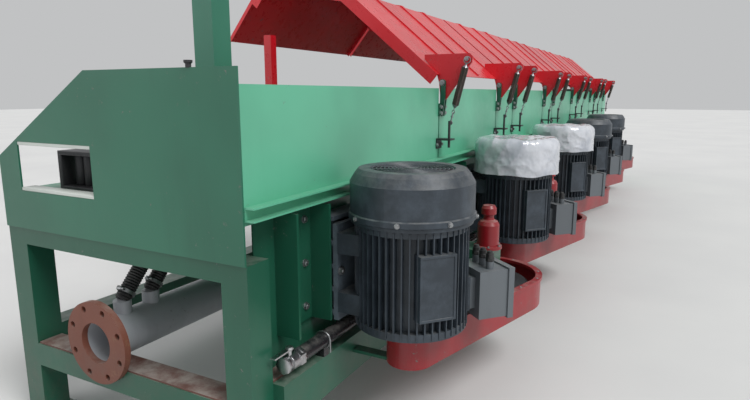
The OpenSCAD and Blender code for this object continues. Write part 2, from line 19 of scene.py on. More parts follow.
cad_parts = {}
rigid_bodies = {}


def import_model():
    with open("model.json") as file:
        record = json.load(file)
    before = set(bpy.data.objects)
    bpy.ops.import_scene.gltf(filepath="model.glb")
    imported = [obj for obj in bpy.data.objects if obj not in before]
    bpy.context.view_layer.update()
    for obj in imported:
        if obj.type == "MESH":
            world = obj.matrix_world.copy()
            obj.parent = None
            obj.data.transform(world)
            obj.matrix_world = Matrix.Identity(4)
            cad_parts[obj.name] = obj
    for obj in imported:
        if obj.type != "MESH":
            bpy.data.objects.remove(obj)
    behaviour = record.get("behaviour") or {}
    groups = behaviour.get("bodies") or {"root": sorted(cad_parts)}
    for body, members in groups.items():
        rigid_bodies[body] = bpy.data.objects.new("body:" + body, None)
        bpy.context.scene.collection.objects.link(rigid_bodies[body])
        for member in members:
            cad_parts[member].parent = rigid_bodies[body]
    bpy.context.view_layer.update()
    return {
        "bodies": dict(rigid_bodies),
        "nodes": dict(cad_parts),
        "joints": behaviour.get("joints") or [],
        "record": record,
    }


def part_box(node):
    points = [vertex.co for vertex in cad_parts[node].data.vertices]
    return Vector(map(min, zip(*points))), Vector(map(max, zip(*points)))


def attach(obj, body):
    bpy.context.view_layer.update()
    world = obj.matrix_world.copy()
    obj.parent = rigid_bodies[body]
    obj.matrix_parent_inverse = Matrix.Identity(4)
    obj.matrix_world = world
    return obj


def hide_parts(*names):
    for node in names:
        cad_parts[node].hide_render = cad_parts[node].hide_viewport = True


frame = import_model()
LOG = logging.getLogger("wire_drawing_machine")

Colour = tuple[float, float, float]
Point = tuple[float, float, float]
Piece = bpy.types.Object
Socket = bpy.types.NodeSocket

# How far a bolt's head is let into its seat, so that no light shows under it
SINK = 0.0002

# The part of a face's normal that has to lie along an axis for the face to look that way
SQUARE_ON = 0.9

UP: Point = (0.0, 0.0, 1.0)
TO_MOTOR_SIDE: Point = (0.0, 1.0, 0.0)
TO_OPERATOR_SIDE: Point = (0.0, -1.0, 0.0)


class Axis(Enum):
    """The axis that a primitive's own Z is laid along, with the turn that does it."""

    X = (0.0, math.pi / 2, 0.0)
    Y = (-math.pi / 2, 0.0, 0.0)
    Z = (0.0, 0.0, 0.0)


class Way(Enum):
    """The ways that picked faces look: the number of an axis, and the signs of its directions."""

    UP = (2, (1,))
    DOWN = (2, (-1,))
    UP_AND_DOWN = (2, (1, -1))
    OUT = (0, (1,))
    ALONG = (0, (1, -1))


class Head(Enum):
    """The heads of bolts and screws."""

    HEX = "hex"
    ROUND = "round"


def srgb(red: int, green: int, blue: int) -> Colour:
    """Turns an 8-bit screen colour into the linear colour that a shader wants.

    Args:
        red: Red from 0 to 255.
        green: Green from 0 to 255.
        blue: Blue from 0 to 255.

    Returns:
        The linear colour.
    """
    def one(value: int) -> float:
        """Returns one linear channel."""
        level = value / 255
        return level / 12.92 if level <= 0.04045 else ((level + 0.055) / 1.055) ** 2.4

    return one(red), one(green), one(blue)


def joint(name: str) -> dict:
    """Returns one of the frame's joints by its name."""
    return next(item for item in frame["joints"] if item["name"] == name)


def spaced(first: float, step: float, count: int) -> list[float]:
    """Returns places that follow each other towards -X."""
    return [first - step * k for k in range(count)]


class Row:
    """Where the repeated things stand along the row, read from the frame's boxes and joints."""

    near_x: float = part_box("end_plate_near")[1].x
    far_x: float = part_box("end_plate_far")[0].x
    count: int = sum(name.startswith("hood_") for name in frame["bodies"])
    hinges: list[Vector] = [Vector(joint(f"hood_{k}_hinge")["pos_m"]) for k in range(1, count + 1)]
    block: float = hinges[0].x - hinges[1].x
    open_angle: float = math.radians(joint("hood_1_hinge")["range_deg"][1])
    drum_y: float = joint("drum_1_spin")["pos_m"][1]
    cowls: tuple[Vector, Vector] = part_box("motor_cowls")
    cowl_radius: float = (cowls[1].y - cowls[0].y) / 2
    motor_y: float = (cowls[1].y + cowls[0].y) / 2
    motors: list[float] = spaced(cowls[1].x - cowl_radius, block, count)
    wrapped: tuple[int, ...] = (1, 2)
    bracket_half: float = 0.036
    lug_ends: tuple[float, float] = (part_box("hinge_brackets")[1].x - bracket_half,
                                     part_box("hinge_brackets")[0].x + bracket_half + (count - 1) * block)

    @classmethod
    def at_motors(cls, degrees: float) -> list[Matrix]:
        """Returns a place on each motor's axis at the floor, turned by an angle about it."""
        turn = Matrix.Rotation(math.radians(degrees), 4, "Z")
        return [Matrix.Translation((x, cls.motor_y, 0)) @ turn for x in cls.motors]

    @classmethod
    def lugs(cls, index: int) -> tuple[float, float]:
        """Returns the X of the two lugs of a block, counted from 0."""
        return tuple(x - index * cls.block for x in cls.lug_ends)


class Noise(Enum):
    """The kinds of noise that the finishes use."""

    CLOUDS = "FBM"
    CREASES = "RIDGED_MULTIFRACTAL"


@dataclass(frozen=True)
class Grain:
    """A noise pattern, the two levels between which a patch of it fades in, and its relief.

    It has scale features in a metre, detail octaves, and rough says how strong the fine octaves are.
    The relief is depth metres deep, and strength says how much of it shows.
    """

    scale: float
    detail: float = 4.0
    rough: float = 0.55
    low: float = 0.0
    high: float = 1.0
    kind: Noise = Noise.CLOUDS
    depth: float = 0.0
    strength: float = 1.0


class Shade:
    """A small helper that wires one procedural material."""

    def __init__(self, name: str) -> None:
        """Starts a material with its surface shader.

        Args:
            name: The material's name.
        """
        self.material = bpy.data.materials.new(name)
        self.material.use_nodes = True
        self.nodes = self.material.node_tree.nodes
        self.links = self.material.node_tree.links
        self.surface = self.nodes["Principled BSDF"]
        self.place = self.nodes.new("ShaderNodeTexCoord").outputs["Object"]

    def stretched(self, scale: Point) -> Socket:
        """Scales the object's coordinates by axis.

        Args:
            scale: The factor on each axis.

        Returns:
            The scaled coordinates.
        """
        mapping = self.nodes.new("ShaderNodeMapping")
        mapping.inputs["Scale"].default_value = scale
        self.links.new(self.place, mapping.inputs["Vector"])
        return mapping.outputs["Vector"]

    def noise(self, grain: Grain, where: Socket | None = None) -> Socket:
        """Adds a noise texture.

        Args:
            grain: Its pattern.
            where: The coordinates to read, or the object's own.

        Returns:
            The noise's factor.
        """
        node = self.nodes.new("ShaderNodeTexNoise")
        node.noise_type = grain.kind.value
        node.inputs["Scale"].default_value = grain.scale
        node.inputs["Detail"].default_value = grain.detail
        node.inputs["Roughness"].default_value = grain.rough
        self.links.new(where or self.place, node.inputs["Vector"])
        return node.outputs["Fac"]

    def patch(self, grain: Grain, where: Socket | None = None) -> Socket:
        """Returns a noise that fades from 0 to 1 between its pattern's two levels."""
        return self.ramp(self.noise(grain, where), grain.low, grain.high)

    def ramp(self, factor: Socket, low: float, high: float) -> Socket:
        """Maps a factor between two levels onto 0 to 1.

        Args:
            factor: The factor to map.
            low: The level that becomes 0.
            high: The level that becomes 1.

        Returns:
            The mapped factor.
        """
        node = self.nodes.new("ShaderNodeMapRange")
        node.interpolation_type = "SMOOTHSTEP"
        node.inputs["From Min"].default_value = low
        node.inputs["From Max"].default_value = high
        self.links.new(factor, node.inputs["Value"])
        return node.outputs["Result"]

    def scaled(self, factor: Socket, amount: float, base: float = 0.0) -> Socket:
        """Multiplies a factor by an amount and adds a base.

        Args:
            factor: The factor.
            amount: What it is multiplied by.
            base: What is added.

        Returns:
            The new factor.
        """
        node = self.nodes.new("ShaderNodeMath")
        node.operation = "MULTIPLY_ADD"
        node.inputs[1].default_value = amount
        node.inputs[2].default_value = base
        self.links.new(factor, node.inputs[0])
        return node.outputs["Value"]

    def times(self, first: Socket, second: Socket) -> Socket:
        """Multiplies two factors.

        Args:
            first: One factor.
            second: The other.

        Returns:
            Their product.
        """
        node = self.nodes.new("ShaderNodeMath")
        node.operation = "MULTIPLY"
        self.links.new(first, node.inputs[0])
        self.links.new(second, node.inputs[1])
        return node.outputs["Value"]

    def facing_up(self, low: float = 0.3, high: float = 0.95) -> Socket:
        """Tells the faces that look up in the piece's own space from the others.

        Args:
            low: The upward part of the normal that gives 0.
            high: The upward part of the normal that gives 1.

        Returns:
            1 on faces that look up, 0 elsewhere.
        """
        split = self.nodes.new("ShaderNodeSeparateXYZ")
        coordinates = self.nodes.new("ShaderNodeTexCoord")
        self.links.new(coordinates.outputs["Normal"], split.inputs["Vector"])
        return self.ramp(split.outputs["Z"], low, high)

    def height(self, low: float, high: float) -> Socket:
        """Fades a factor out with height.

        Args:
            low: The lower height.
            high: The upper height.

        Returns:
            1 at the lower height and below it, 0 at the upper one and above.
        """
        split = self.nodes.new("ShaderNodeSeparateXYZ")
        self.links.new(self.place, split.inputs["Vector"])
        return self.ramp(split.outputs["Z"], high, low)

    def blend(self, factor: Socket, first: Socket | Colour,
              second: Socket | Colour) -> Socket:
        """Mixes two colours.

        Args:
            factor: 0 for the first colour, 1 for the second.
            first: A colour or a socket.
            second: A colour or a socket.

        Returns:
            The mixed colour.
        """
        node = self.nodes.new("ShaderNodeMix")
        node.data_type = "RGBA"
        self.links.new(factor, node.inputs["Factor"])
        for socket, value in ((node.inputs[6], first), (node.inputs[7], second)):
            if isinstance(value, tuple):
                socket.default_value = (*value, 1.0)
            else:
                self.links.new(value, socket)
        return node.outputs[2]

    def bump(self, height: Socket, depth: float, strength: float,
             over: Socket | None = None) -> Socket:
        """Adds a bump.

        Args:
            height: The height factor.
            depth: The relief in metres.
            strength: How much of it shows.
            over: A normal that this one adds to.

        Returns:
            The bumped normal.
        """
        node = self.nodes.new("ShaderNodeBump")
        node.inputs["Distance"].default_value = depth
        node.inputs["Strength"].default_value = strength
        self.links.new(height, node.inputs["Height"])
        if over is not None:
            self.links.new(over, node.inputs["Normal"])
        return node.outputs["Normal"]

    def relief(self, grain: Grain, over: Socket | None = None) -> Socket:
        """Returns the normal that a noise's relief gives, over another normal where there is one."""
        return self.bump(self.noise(grain), grain.depth, grain.strength, over)

    def finish(self, colour: Socket, rough: Socket | float,
               normal: Socket | None, **constants: float) -> bpy.types.Material:
        """Joins the wires to the surface shader.

        Args:
            colour: The base colour.
            rough: Roughness, as a socket or a number.
            normal: The bumped normal, if there is one.
            constants: Values for the shader's own sockets, with _ for a space.

        Returns:
            The material.
        """
        self.links.new(colour, self.surface.inputs["Base Color"])
        if isinstance(rough, float):
            self.surface.inputs["Roughness"].default_value = rough
        else:
            self.links.new(rough, self.surface.inputs["Roughness"])
        if normal is not None:
            self.links.new(normal, self.surface.inputs["Normal"])
        for key, value in constants.items():
            self.surface.inputs[key.replace("_", " ")].default_value = value
        return self.material


def dimmed(colour: Colour, factor: float, lift: float = 0.0) -> Colour:
    """Returns a colour times a factor plus a lift, no brighter than white."""
    return tuple(min(1.0, channel * factor + lift) for channel in colour)


@dataclass(frozen=True)
class Enamel:
    """Brushed or sprayed enamel on sheet and section steel."""

    name: str
    colour: Colour
    shade: float = 0.82
    gloss: float = 0.32
    waviness: float = 0.0012
    dust: float = 0.25
    grime: float = 0.35
    chips: float = 0.62
    under: Colour = (0.16, 0.15, 0.14)

    cloud: Grain = Grain(1.7, 3.0, low=0.35, high=0.65)
    streak: Grain = Grain(5.0, 5.0, 0.6, low=0.52, high=0.74)
    streak_run: Point = (3.0, 3.0, 0.35)
    streak_shade: float = 0.55
    dirt: Grain = Grain(9.0, 6.0, 0.7, low=0.4, high=0.65)
    dirt_heights: tuple[float, float] = (0.05, 0.5)
    dirt_colour: Colour = (0.10, 0.085, 0.07)
    dusting: Grain = Grain(14.0, 6.0, 0.65, low=0.3, high=0.7)
    dust_colour: Colour = (0.46, 0.44, 0.40)
    flake: Grain = Grain(38.0, 8.0, 0.75)
    flake_edge: float = 0.02
    worn: Grain = Grain(4.0, 2.0, low=0.52, high=0.62)
    sheen: Grain = Grain(22.0, 5.0, 0.65)
    sheen_span: float = 0.22
    sheen_drop: float = 0.08
    peel: Grain = Grain(420.0, 2.0, depth=0.00022, strength=0.35)
    wave: Grain = Grain(2.3, 1.0, strength=0.8)
    coat: float = 0.12
    coat_rough: float = 0.18

    def make(self) -> bpy.types.Material:
        """Mixes a cloudy tone, dust on top, grime low down, chips and orange peel.

        Returns:
            The material.
        """
        s = Shade(self.name)
        tone = s.blend(s.patch(self.cloud), self.colour, dimmed(self.colour, self.shade))
        streak = s.patch(self.streak, s.stretched(self.streak_run))
        tone = s.blend(s.scaled(streak, self.grime * 0.5), tone, dimmed(self.colour, self.streak_shade))
        low = s.times(s.height(*self.dirt_heights), s.patch(self.dirt))
        tone = s.blend(s.scaled(low, self.grime), tone, self.dirt_colour)
        dusty = s.times(s.facing_up(), s.patch(self.dusting))
        tone = s.blend(s.scaled(dusty, self.dust), tone, self.dust_colour)
        flake = s.ramp(s.noise(self.flake), self.chips, self.chips + self.flake_edge)
        tone = s.blend(s.times(flake, s.patch(self.worn)), tone, self.under)
        rough = s.scaled(s.noise(self.sheen), self.sheen_span, self.gloss - self.sheen_drop)
        wave = s.bump(s.noise(self.wave), self.waviness, self.wave.strength, s.relief(self.peel))
        return s.finish(tone, rough, wave, Specular_IOR_Level=0.5, Coat_Weight=self.coat,
                        Coat_Roughness=self.coat_rough)


@dataclass(frozen=True)
class CastPaint:
    """Enamel over a sand casting, with a grainy surface and dust in its hollows."""

    name: str
    colour: Colour
    gloss: float = 0.42
    dust: float = 0.35

    mottle: Grain = Grain(11.0, 6.0, 0.7, low=0.38, high=0.7)
    dusting: Grain = Grain(24.0, 6.0, 0.7, low=0.28, high=0.7)
    dust_colour: Colour = (0.33, 0.33, 0.32)
    scuff: Grain = Grain(60.0, 8.0, 0.8, low=0.66, high=0.70)
    worn: Grain = Grain(5.0, 2.0, low=0.5, high=0.6)
    scuff_colour: Colour = (0.22, 0.21, 0.20)
    scuff_share: float = 0.7
    bright: tuple[float, float] = (1.7, 0.006)
    sheen: Grain = Grain(30.0, 5.0, 0.7)
    sheen_span: float = 0.28
    sheen_drop: float = 0.1
    sand: Grain = Grain(260.0, 5.0, 0.7, depth=0.0006, strength=0.6)
    swell: Grain = Grain(18.0, 3.0, depth=0.0012, strength=0.5)

    def make(self) -> bpy.types.Material:
        """Mixes a mottled tone, a grainy relief and settled dust.

        Returns:
            The material.
        """
        s = Shade(self.name)
        tone = s.blend(s.patch(self.mottle), self.colour, dimmed(self.colour, *self.bright))
        dusty = s.times(s.facing_up(0.2, 0.9), s.patch(self.dusting))
        tone = s.blend(s.scaled(dusty, self.dust), tone, self.dust_colour)
        scuff = s.times(s.patch(self.scuff), s.patch(self.worn))
        tone = s.blend(s.scaled(scuff, self.scuff_share), tone, self.scuff_colour)
        rough = s.scaled(s.noise(self.sheen), self.sheen_span, self.gloss - self.sheen_drop)
        return s.finish(tone, rough, s.relief(self.swell, s.relief(self.sand)), Specular_IOR_Level=0.5)


@dataclass(frozen=True)
class BareMetal:
    """Turned, plated or blackened steel."""

    name: str
    colour: Colour
    rough: float = 0.3
    grooves: Point = (3.0, 3.0, 120.0)
    tarnish: Colour = (0.10, 0.075, 0.055)
    spots: float = 0.25
    metallic: float = 1.0

    tooling: Grain = Grain(30.0, 4.0, 0.6, low=0.35, high=0.65, depth=0.0002, strength=0.35)
    shade: float = 0.7
    spotting: Grain = Grain(26.0, 8.0, 0.75, low=0.55, high=0.75)
    sheen: Grain = Grain(18.0, 5.0, 0.6)
    sheen_span: float = 0.25
    sheen_drop: float = 0.08

    def make(self) -> bpy.types.Material:
        """Mixes fine tool marks, tarnish spots and uneven gloss.

        Returns:
            The material.
        """
        s = Shade(self.name)
        tooling = self.tooling
        marks = s.noise(tooling, s.stretched(self.grooves))
        tone = s.blend(s.ramp(marks, tooling.low, tooling.high), self.colour, dimmed(self.colour, self.shade))
        tone = s.blend(s.scaled(s.patch(self.spotting), self.spots), tone, self.tarnish)
        rough = s.scaled(s.noise(self.sheen), self.sheen_span, self.rough - self.sheen_drop)
        return s.finish(tone, rough, s.bump(marks, tooling.depth, tooling.strength), Metallic=self.metallic)


@dataclass(frozen=True)
class Rubber:
    """Black rubber of belts and hoses."""

    name: str
    colour: Colour = (0.018, 0.018, 0.019)
    rough: float = 0.62

    bloom: Grain = Grain(16.0, 6.0, 0.7, low=0.4, high=0.75)
    bloom_colour: Colour = (0.09, 0.088, 0.085)
    bloom_share: float = 0.5
    sheen: Grain = Grain(40.0, 4.0)
    sheen_span: float = 0.2
    sheen_drop: float = 0.1
    skin: Grain = Grain(300.0, 3.0, depth=0.0003, strength=0.5)

    def make(self) -> bpy.types.Material:
        """Mixes matt black with bloom.

        Returns:
            The material.
        """
        s = Shade(self.name)
        tone = s.blend(s.scaled(s.patch(self.bloom), self.bloom_share), self.colour, self.bloom_colour)
        rough = s.scaled(s.noise(self.sheen), self.sheen_span, self.rough - self.sheen_drop)
        return s.finish(tone, rough, s.relief(self.skin))


@dataclass(frozen=True)
class Film:
    """Crumpled milky plastic film."""

    name: str
    colour: Colour = (0.76, 0.78, 0.83)
    through: Colour = (0.47, 0.50, 0.56)
    ridge_glint_colour: Colour = (0.88, 0.89, 0.92)

    milk: Grain = Grain(5.5, 4.0, 0.6, low=0.36, high=0.68)
    ridge: Grain = Grain(11.0, 5.0, 0.55, low=0.25, high=0.9, kind=Noise.CREASES, depth=0.006,
                                   strength=0.7)
    ridge_run: Point = (1.0, 1.0, 1.8)
    ridge_glint_share: float = 0.30
    fine: Grain = Grain(48.0, 6.0, 0.65, kind=Noise.CREASES, depth=0.0022, strength=0.6)
    rough: float = 0.16
    clear: float = 0.15
    ior: float = 1.45
    coat: float = 0.6
    coat_rough: float = 0.08

    def make(self) -> bpy.types.Material:
        """Mixes a milky tone, a painted highlight on the crease ridges and fine creases.

        Returns:
            The material.
        """
        s = Shade(self.name)
        tone = s.blend(s.patch(self.milk), self.colour, self.through)
        ridge = s.patch(self.ridge, s.stretched(self.ridge_run))
        # Painted highlight: the crease ridges are blended towards a paler colour in place of glints of light.
        tone = s.blend(s.scaled(ridge, self.ridge_glint_share), tone, self.ridge_glint_colour)
        fine = s.relief(self.fine, s.bump(ridge, self.ridge.depth, self.ridge.strength))
        return s.finish(tone, self.rough, fine, Transmission_Weight=self.clear, IOR=self.ior,
                        Coat_Weight=self.coat, Coat_Roughness=self.coat_rough)


@dataclass(frozen=True)
class Concrete:
    """The plain pale floor."""

    name: str
    light: Colour = (0.70, 0.70, 0.69)
    dark: Colour = (0.66, 0.66, 0.655)

    cloud: Grain = Grain(0.8, 4.0, low=0.3, high=0.7)
    skin: Grain = Grain(60.0, 3.0, depth=0.0003, strength=0.3)
    rough: float = 0.55

    def make(self) -> bpy.types.Material:
        """Mixes a pale, nearly plain floor.

        Returns:
            The material.
        """
        s = Shade(self.name)
        tone = s.blend(s.patch(self.cloud), self.light, self.dark)
        return s.finish(tone, self.rough, s.relief(self.skin), Specular_IOR_Level=0.35)


class Finish(Enum):
    """Every finish on the machine, by the record's slot where it has one."""

    WALL = Enamel("wall_paint", srgb(98, 182, 148), gloss=0.34, dust=0.12, grime=0.22)
    PLATE = Enamel("plate_paint", srgb(40, 108, 84), gloss=0.30, dust=0.25)
    FRAME = Enamel("frame_paint", srgb(30, 92, 70), gloss=0.34, dust=0.35)
    DECK = Enamel("deck_paint", srgb(74, 150, 122), gloss=0.42, dust=0.4, chips=0.58)
    COLUMN = Enamel("column_paint", srgb(48, 122, 98), gloss=0.3)
    OXIDE = Enamel("red_oxide", srgb(112, 74, 66), gloss=0.62, dust=0.6, grime=0.5, chips=0.58)
    HOOD = Enamel("hood_red", srgb(214, 28, 42), gloss=0.26, dust=0.10, grime=0.12, waviness=0.002)
    # The guard's red is a darker copy of the hoods' red, with heavier grime: painted shade for the guard's
    # shaded side.
    SHADED_GUARD = Enamel("guard_red", srgb(150, 27, 36), gloss=0.32, dust=0.35, grime=0.65)
    PIPE = Enamel("pipe_grey", srgb(176, 180, 186), gloss=0.36, dust=0.2, grime=0.45)
    BOX = Enamel("box_grey", srgb(100, 106, 111), gloss=0.38, dust=0.2, grime=0.5, under=(0.3, 0.3, 0.31))
    FEED = Enamel("pipe_black", srgb(34, 35, 38), gloss=0.24, dust=0.3, under=(0.2, 0.2, 0.2))
    MOTOR = CastPaint("motor_paint", srgb(44, 52, 60))
    BASE = CastPaint("base_paint", srgb(74, 84, 92))
    IRON = BareMetal("pulley_iron", (0.20, 0.20, 0.21), 0.42)
    DARK = BareMetal("dark_steel", (0.06, 0.06, 0.065), 0.42, metallic=0.6)
    SPRING = BareMetal("spring_black", (0.100, 0.083, 0.072), 0.32, metallic=0.8)
    HOOK = BareMetal("hook_steel", (0.36, 0.36, 0.38), 0.34)
    CHROME = BareMetal("drum_chrome", (0.74, 0.75, 0.77), 0.14, spots=0.05, tarnish=(0.4, 0.4, 0.4))
    VALVE = BareMetal("valve_metal", (0.62, 0.62, 0.63), 0.26)
    BELT = Rubber("belt_rubber")
    HOSE = Rubber("hose_rubber", rough=0.5)
    RUST = Enamel("flange_rust", srgb(124, 72, 56), gloss=0.6, dust=0.3, grime=0.5, chips=0.56,
                  under=(0.2, 0.09, 0.05))
    FILM = Film("film")
    BOLT = BareMetal("bolt_zinc", (0.42, 0.43, 0.44), 0.36, spots=0.4)
    # Near-black disc under the cowl grilles: painted shade for the inside of the inlets.
    INLET_SHADE = BareMetal("cowl_inlet_shade", (0.012, 0.012, 0.014), 0.55, metallic=0.2)
    WIRE = BareMetal("drawn_wire", (0.42, 0.40, 0.38), 0.32, spots=0.1)
    LINER = Enamel("window_liner", srgb(206, 212, 206), gloss=0.4, dust=0.2, grime=0.2, chips=0.7)
    FLOOR = Concrete("floor")


class Paints:
    """Makes each material once and hands it out."""

    made: dict[str, bpy.types.Material] = {}

    @classmethod
    def get(cls, finish: Finish) -> bpy.types.Material:
        """Makes a finish's material where it isn't made yet.

        Args:
            finish: The finish.

        Returns:
            Its material.
        """
        if finish.name not in cls.made:
            cls.made[finish.name] = finish.value.make()
        return cls.made[finish.name]

    @classmethod
    def put(cls, piece: Piece, finish: Finish) -> None:
        """Gives a piece one material.

        Args:
            piece: The piece to dress.
            finish: The finish it gets.
        """
        piece.data.materials.clear()
        piece.data.materials.append(cls.get(finish))

    @classmethod
    def dress(cls, piece: Piece, finish: Finish, slot: str, body: str = "frame",
              smooth: float | None = None) -> None:
        """Gives a piece its finish and the body that it rides on.

        Args:
            piece: The piece.
            finish: Its finish.
            slot: Its slot in the record; not used.
            body: Its body.
            smooth: The angle in radians up to which it is shaded smooth, or None where it stays flat.
        """
        if smooth is not None:
            Bench.smooth(piece, smooth)
        cls.put(piece, finish)
        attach(piece, body)
        LOG.info("made %s", piece.name)


class Bench:
    """The modelling steps that every piece uses, all of them Blender's own operators."""

    @staticmethod
    def deselect() -> None:
        """Leaves nothing selected."""
        bpy.ops.object.select_all(action="DESELECT")

    @staticmethod
    def take(*pieces: Piece) -> None:
        """Selects only these pieces, the first one active.

        Args:
            pieces: The pieces.
        """
        Bench.deselect()
        for piece in pieces:
            piece.select_set(True)
        bpy.context.view_layer.objects.active = pieces[0]

    @staticmethod
    def cylinder(name: str, radius: float, depth: float, centre: Point = (0.0, 0.0, 0.0),
                 axis: Axis = Axis.Z, sides: int = 24, top: float | None = None) -> Piece:
        """Adds a cylinder, or a cone where top is given.

        Args:
            name: The piece's name.
            radius: Its radius, at the foot where it is a cone.
            depth: Its length.
            centre: Its middle.
            axis: The axis that it stands along.
            sides: Its sides.
            top: The radius at its top.

        Returns:
            The new piece.
        """
        Bench.deselect()
        end = radius if top is None else top
        bpy.ops.mesh.primitive_cone_add(vertices=sides, radius1=radius, radius2=end, depth=depth,
                                        location=centre, rotation=axis.value)
        piece = bpy.context.object
        piece.name = name
        return piece

    @staticmethod
    def block(name: str, low: Point, high: Point) -> Piece:
        """Adds a box between two corners.

        Args:
            name: The piece's name.
            low: The corner with the least X, Y and Z.
            high: The corner opposite.

        Returns:
            The new piece.
        """
        Bench.deselect()
        middle = [(a + b) / 2 for a, b in zip(low, high)]
        bpy.ops.mesh.primitive_cube_add(size=1.0, location=middle, scale=[b - a for a, b in zip(low, high)])
        piece = bpy.context.object
        piece.name = name
        Bench.seat(piece)
        return piece

    @staticmethod
    def ring(name: str, radius: float, wire: float, centre: Point = (0.0, 0.0, 0.0), axis: Axis = Axis.Z,
             around: int = 32, sides: int = 8) -> Piece:
        """Adds a round ring about an axis.

        Args:
            name: The piece's name.
            radius: The radius of its middle line.
            wire: The radius of its section.
            centre: Its middle.
            axis: The axis that it goes round.
            around: Its steps round the axis.
            sides: The sides of its section.

        Returns:
            The new piece.
        """
        Bench.deselect()
        bpy.ops.mesh.primitive_torus_add(major_radius=radius, minor_radius=wire, major_segments=around,
                                         minor_segments=sides, location=centre, rotation=axis.value)
        piece = bpy.context.object
        piece.name = name
        return piece

    @staticmethod
    def seat(piece: Piece) -> None:
        """Puts a piece's place into its mesh."""
        Bench.take(piece)
        bpy.ops.object.transform_apply(location=True, rotation=True, scale=True)

    @staticmethod
    @contextmanager
    def editing(piece: Piece) -> Iterator[None]:
        """Opens a piece in edit mode with nothing selected, and closes it again.

        Args:
            piece: The piece.

        Yields:
            Nothing, while the piece is open.
        """
        Bench.take(piece)
        bpy.ops.object.mode_set(mode="EDIT")
        bpy.ops.mesh.select_mode(type="FACE")
        bpy.ops.mesh.select_all(action="DESELECT")
        yield
        bpy.ops.object.mode_set(mode="OBJECT")

    @staticmethod
    def pick(piece: Piece, way: Way) -> None:
        """Selects the faces that look one way, in edit mode.

        Args:
            piece: The piece.
            way: The way that they look.
        """
        axis, signs = way.value
        mesh = bmesh.from_edit_mesh(piece.data)
        for face in mesh.faces:
            face.select_set(any(sign * face.normal[axis] > SQUARE_ON for sign in signs))
        bmesh.update_edit_mesh(piece.data)

    @staticmethod
    def dish(piece: Piece, way: Way, rim: float, move: Point = (0.0, 0.0, 0.0),
             size: Point = (1.0, 1.0, 1.0)) -> None:
        """Insets the faces that look one way, then moves and resizes what the rims leave.

        Args:
            piece: The piece.
            way: The way that the faces look.
            rim: The width of the rim.
            move: How far the inner faces move.
            size: The factor on the inner faces along each axis.
        """
        with Bench.editing(piece):
            Bench.pick(piece, way)
            bpy.ops.mesh.inset(thickness=rim)
            bpy.ops.transform.translate(value=move)
            bpy.ops.transform.resize(value=size)

    @staticmethod
    def extrude(move: Point, size: Point = (1.0, 1.0, 1.0)) -> None:
        """Extrudes the picked faces and resizes their new ends, in edit mode."""
        bpy.ops.mesh.extrude_region_move(TRANSFORM_OT_translate={"value": move})
        bpy.ops.transform.resize(value=size)

    @staticmethod
    def modify(piece: Piece, kind: str, **settings: object) -> None:
        """Adds a modifier and applies it.

        Args:
            piece: The piece.
            kind: The modifier's type.
            settings: Its settings.
        """
        Bench.take(piece)
        modifier = piece.modifiers.new(kind.lower(), kind)
        for key, value in settings.items():
            setattr(modifier, key, value)
        bpy.ops.object.modifier_apply(modifier=modifier.name)

    @staticmethod
    def soften(piece: Piece, width: float, segments: int = 2) -> None:
        """Rounds a piece's sharp edges."""
        Bench.modify(piece, "BEVEL", width=width, segments=segments, limit_method="ANGLE", angle_limit=0.6)

    @staticmethod
    def smooth(piece: Piece, angle: float) -> None:
        """Shades a piece smooth up to an angle."""
        Bench.take(piece)
        bpy.ops.object.shade_smooth_by_angle(angle=angle)

    @staticmethod
    def join(name: str, pieces: Sequence[Piece]) -> Piece:
        """Joins pieces into one mesh that sits at the origin.

        Args:
            name: The name of the joined piece.
            pieces: The pieces.

        Returns:
            The joined piece.
        """
        Bench.take(*pieces)
        if len(pieces) > 1:
            bpy.ops.object.join()
        piece = bpy.context.view_layer.objects.active
        piece.name = name
        Bench.seat(piece)
        return piece

    @staticmethod
    def repeat(name: str, master: Piece, places: Sequence[Matrix]) -> Piece:
        """Copies a master to many places and joins the copies, each with its own mesh.

        Args:
            name: The name of the joined piece.
            master: The piece to copy, which is removed at the end.
            places: Where each copy goes.

        Returns:
            The joined piece.
        """
        Bench.seat(master)
        copies = []
        for place in places:
            copy = master.copy()
            copy.data = master.data.copy()
            copy.matrix_world = place
            bpy.context.collection.objects.link(copy)
            copies.append(copy)
        bpy.data.objects.remove(master)
        bpy.context.view_layer.update()
        return Bench.join(name, copies)


def round_about(x: float, y: float, radius: float, angle: float, z: float) -> Point:
    """Returns the point at an angle on a level circle about x and y.

    Args:
        x: The circle's middle.
        y: The circle's middle.
        radius: Its radius.
        angle: The angle in radians.
        z: Its height.
    """
    return x + radius * math.cos(angle), y + radius * math.sin(angle), z


def facing(point: Point | Vector, axis: Point | Vector, spin: float = 0.0) -> Matrix:
    """Returns the place at a point whose Z looks along an axis, turned by spin about it."""
    turn = Vector(axis).to_track_quat("Z", "Y").to_matrix().to_4x4()
    return Matrix.Translation(Vector(point)) @ turn @ Matrix.Rotation(spin, 4, "Z")


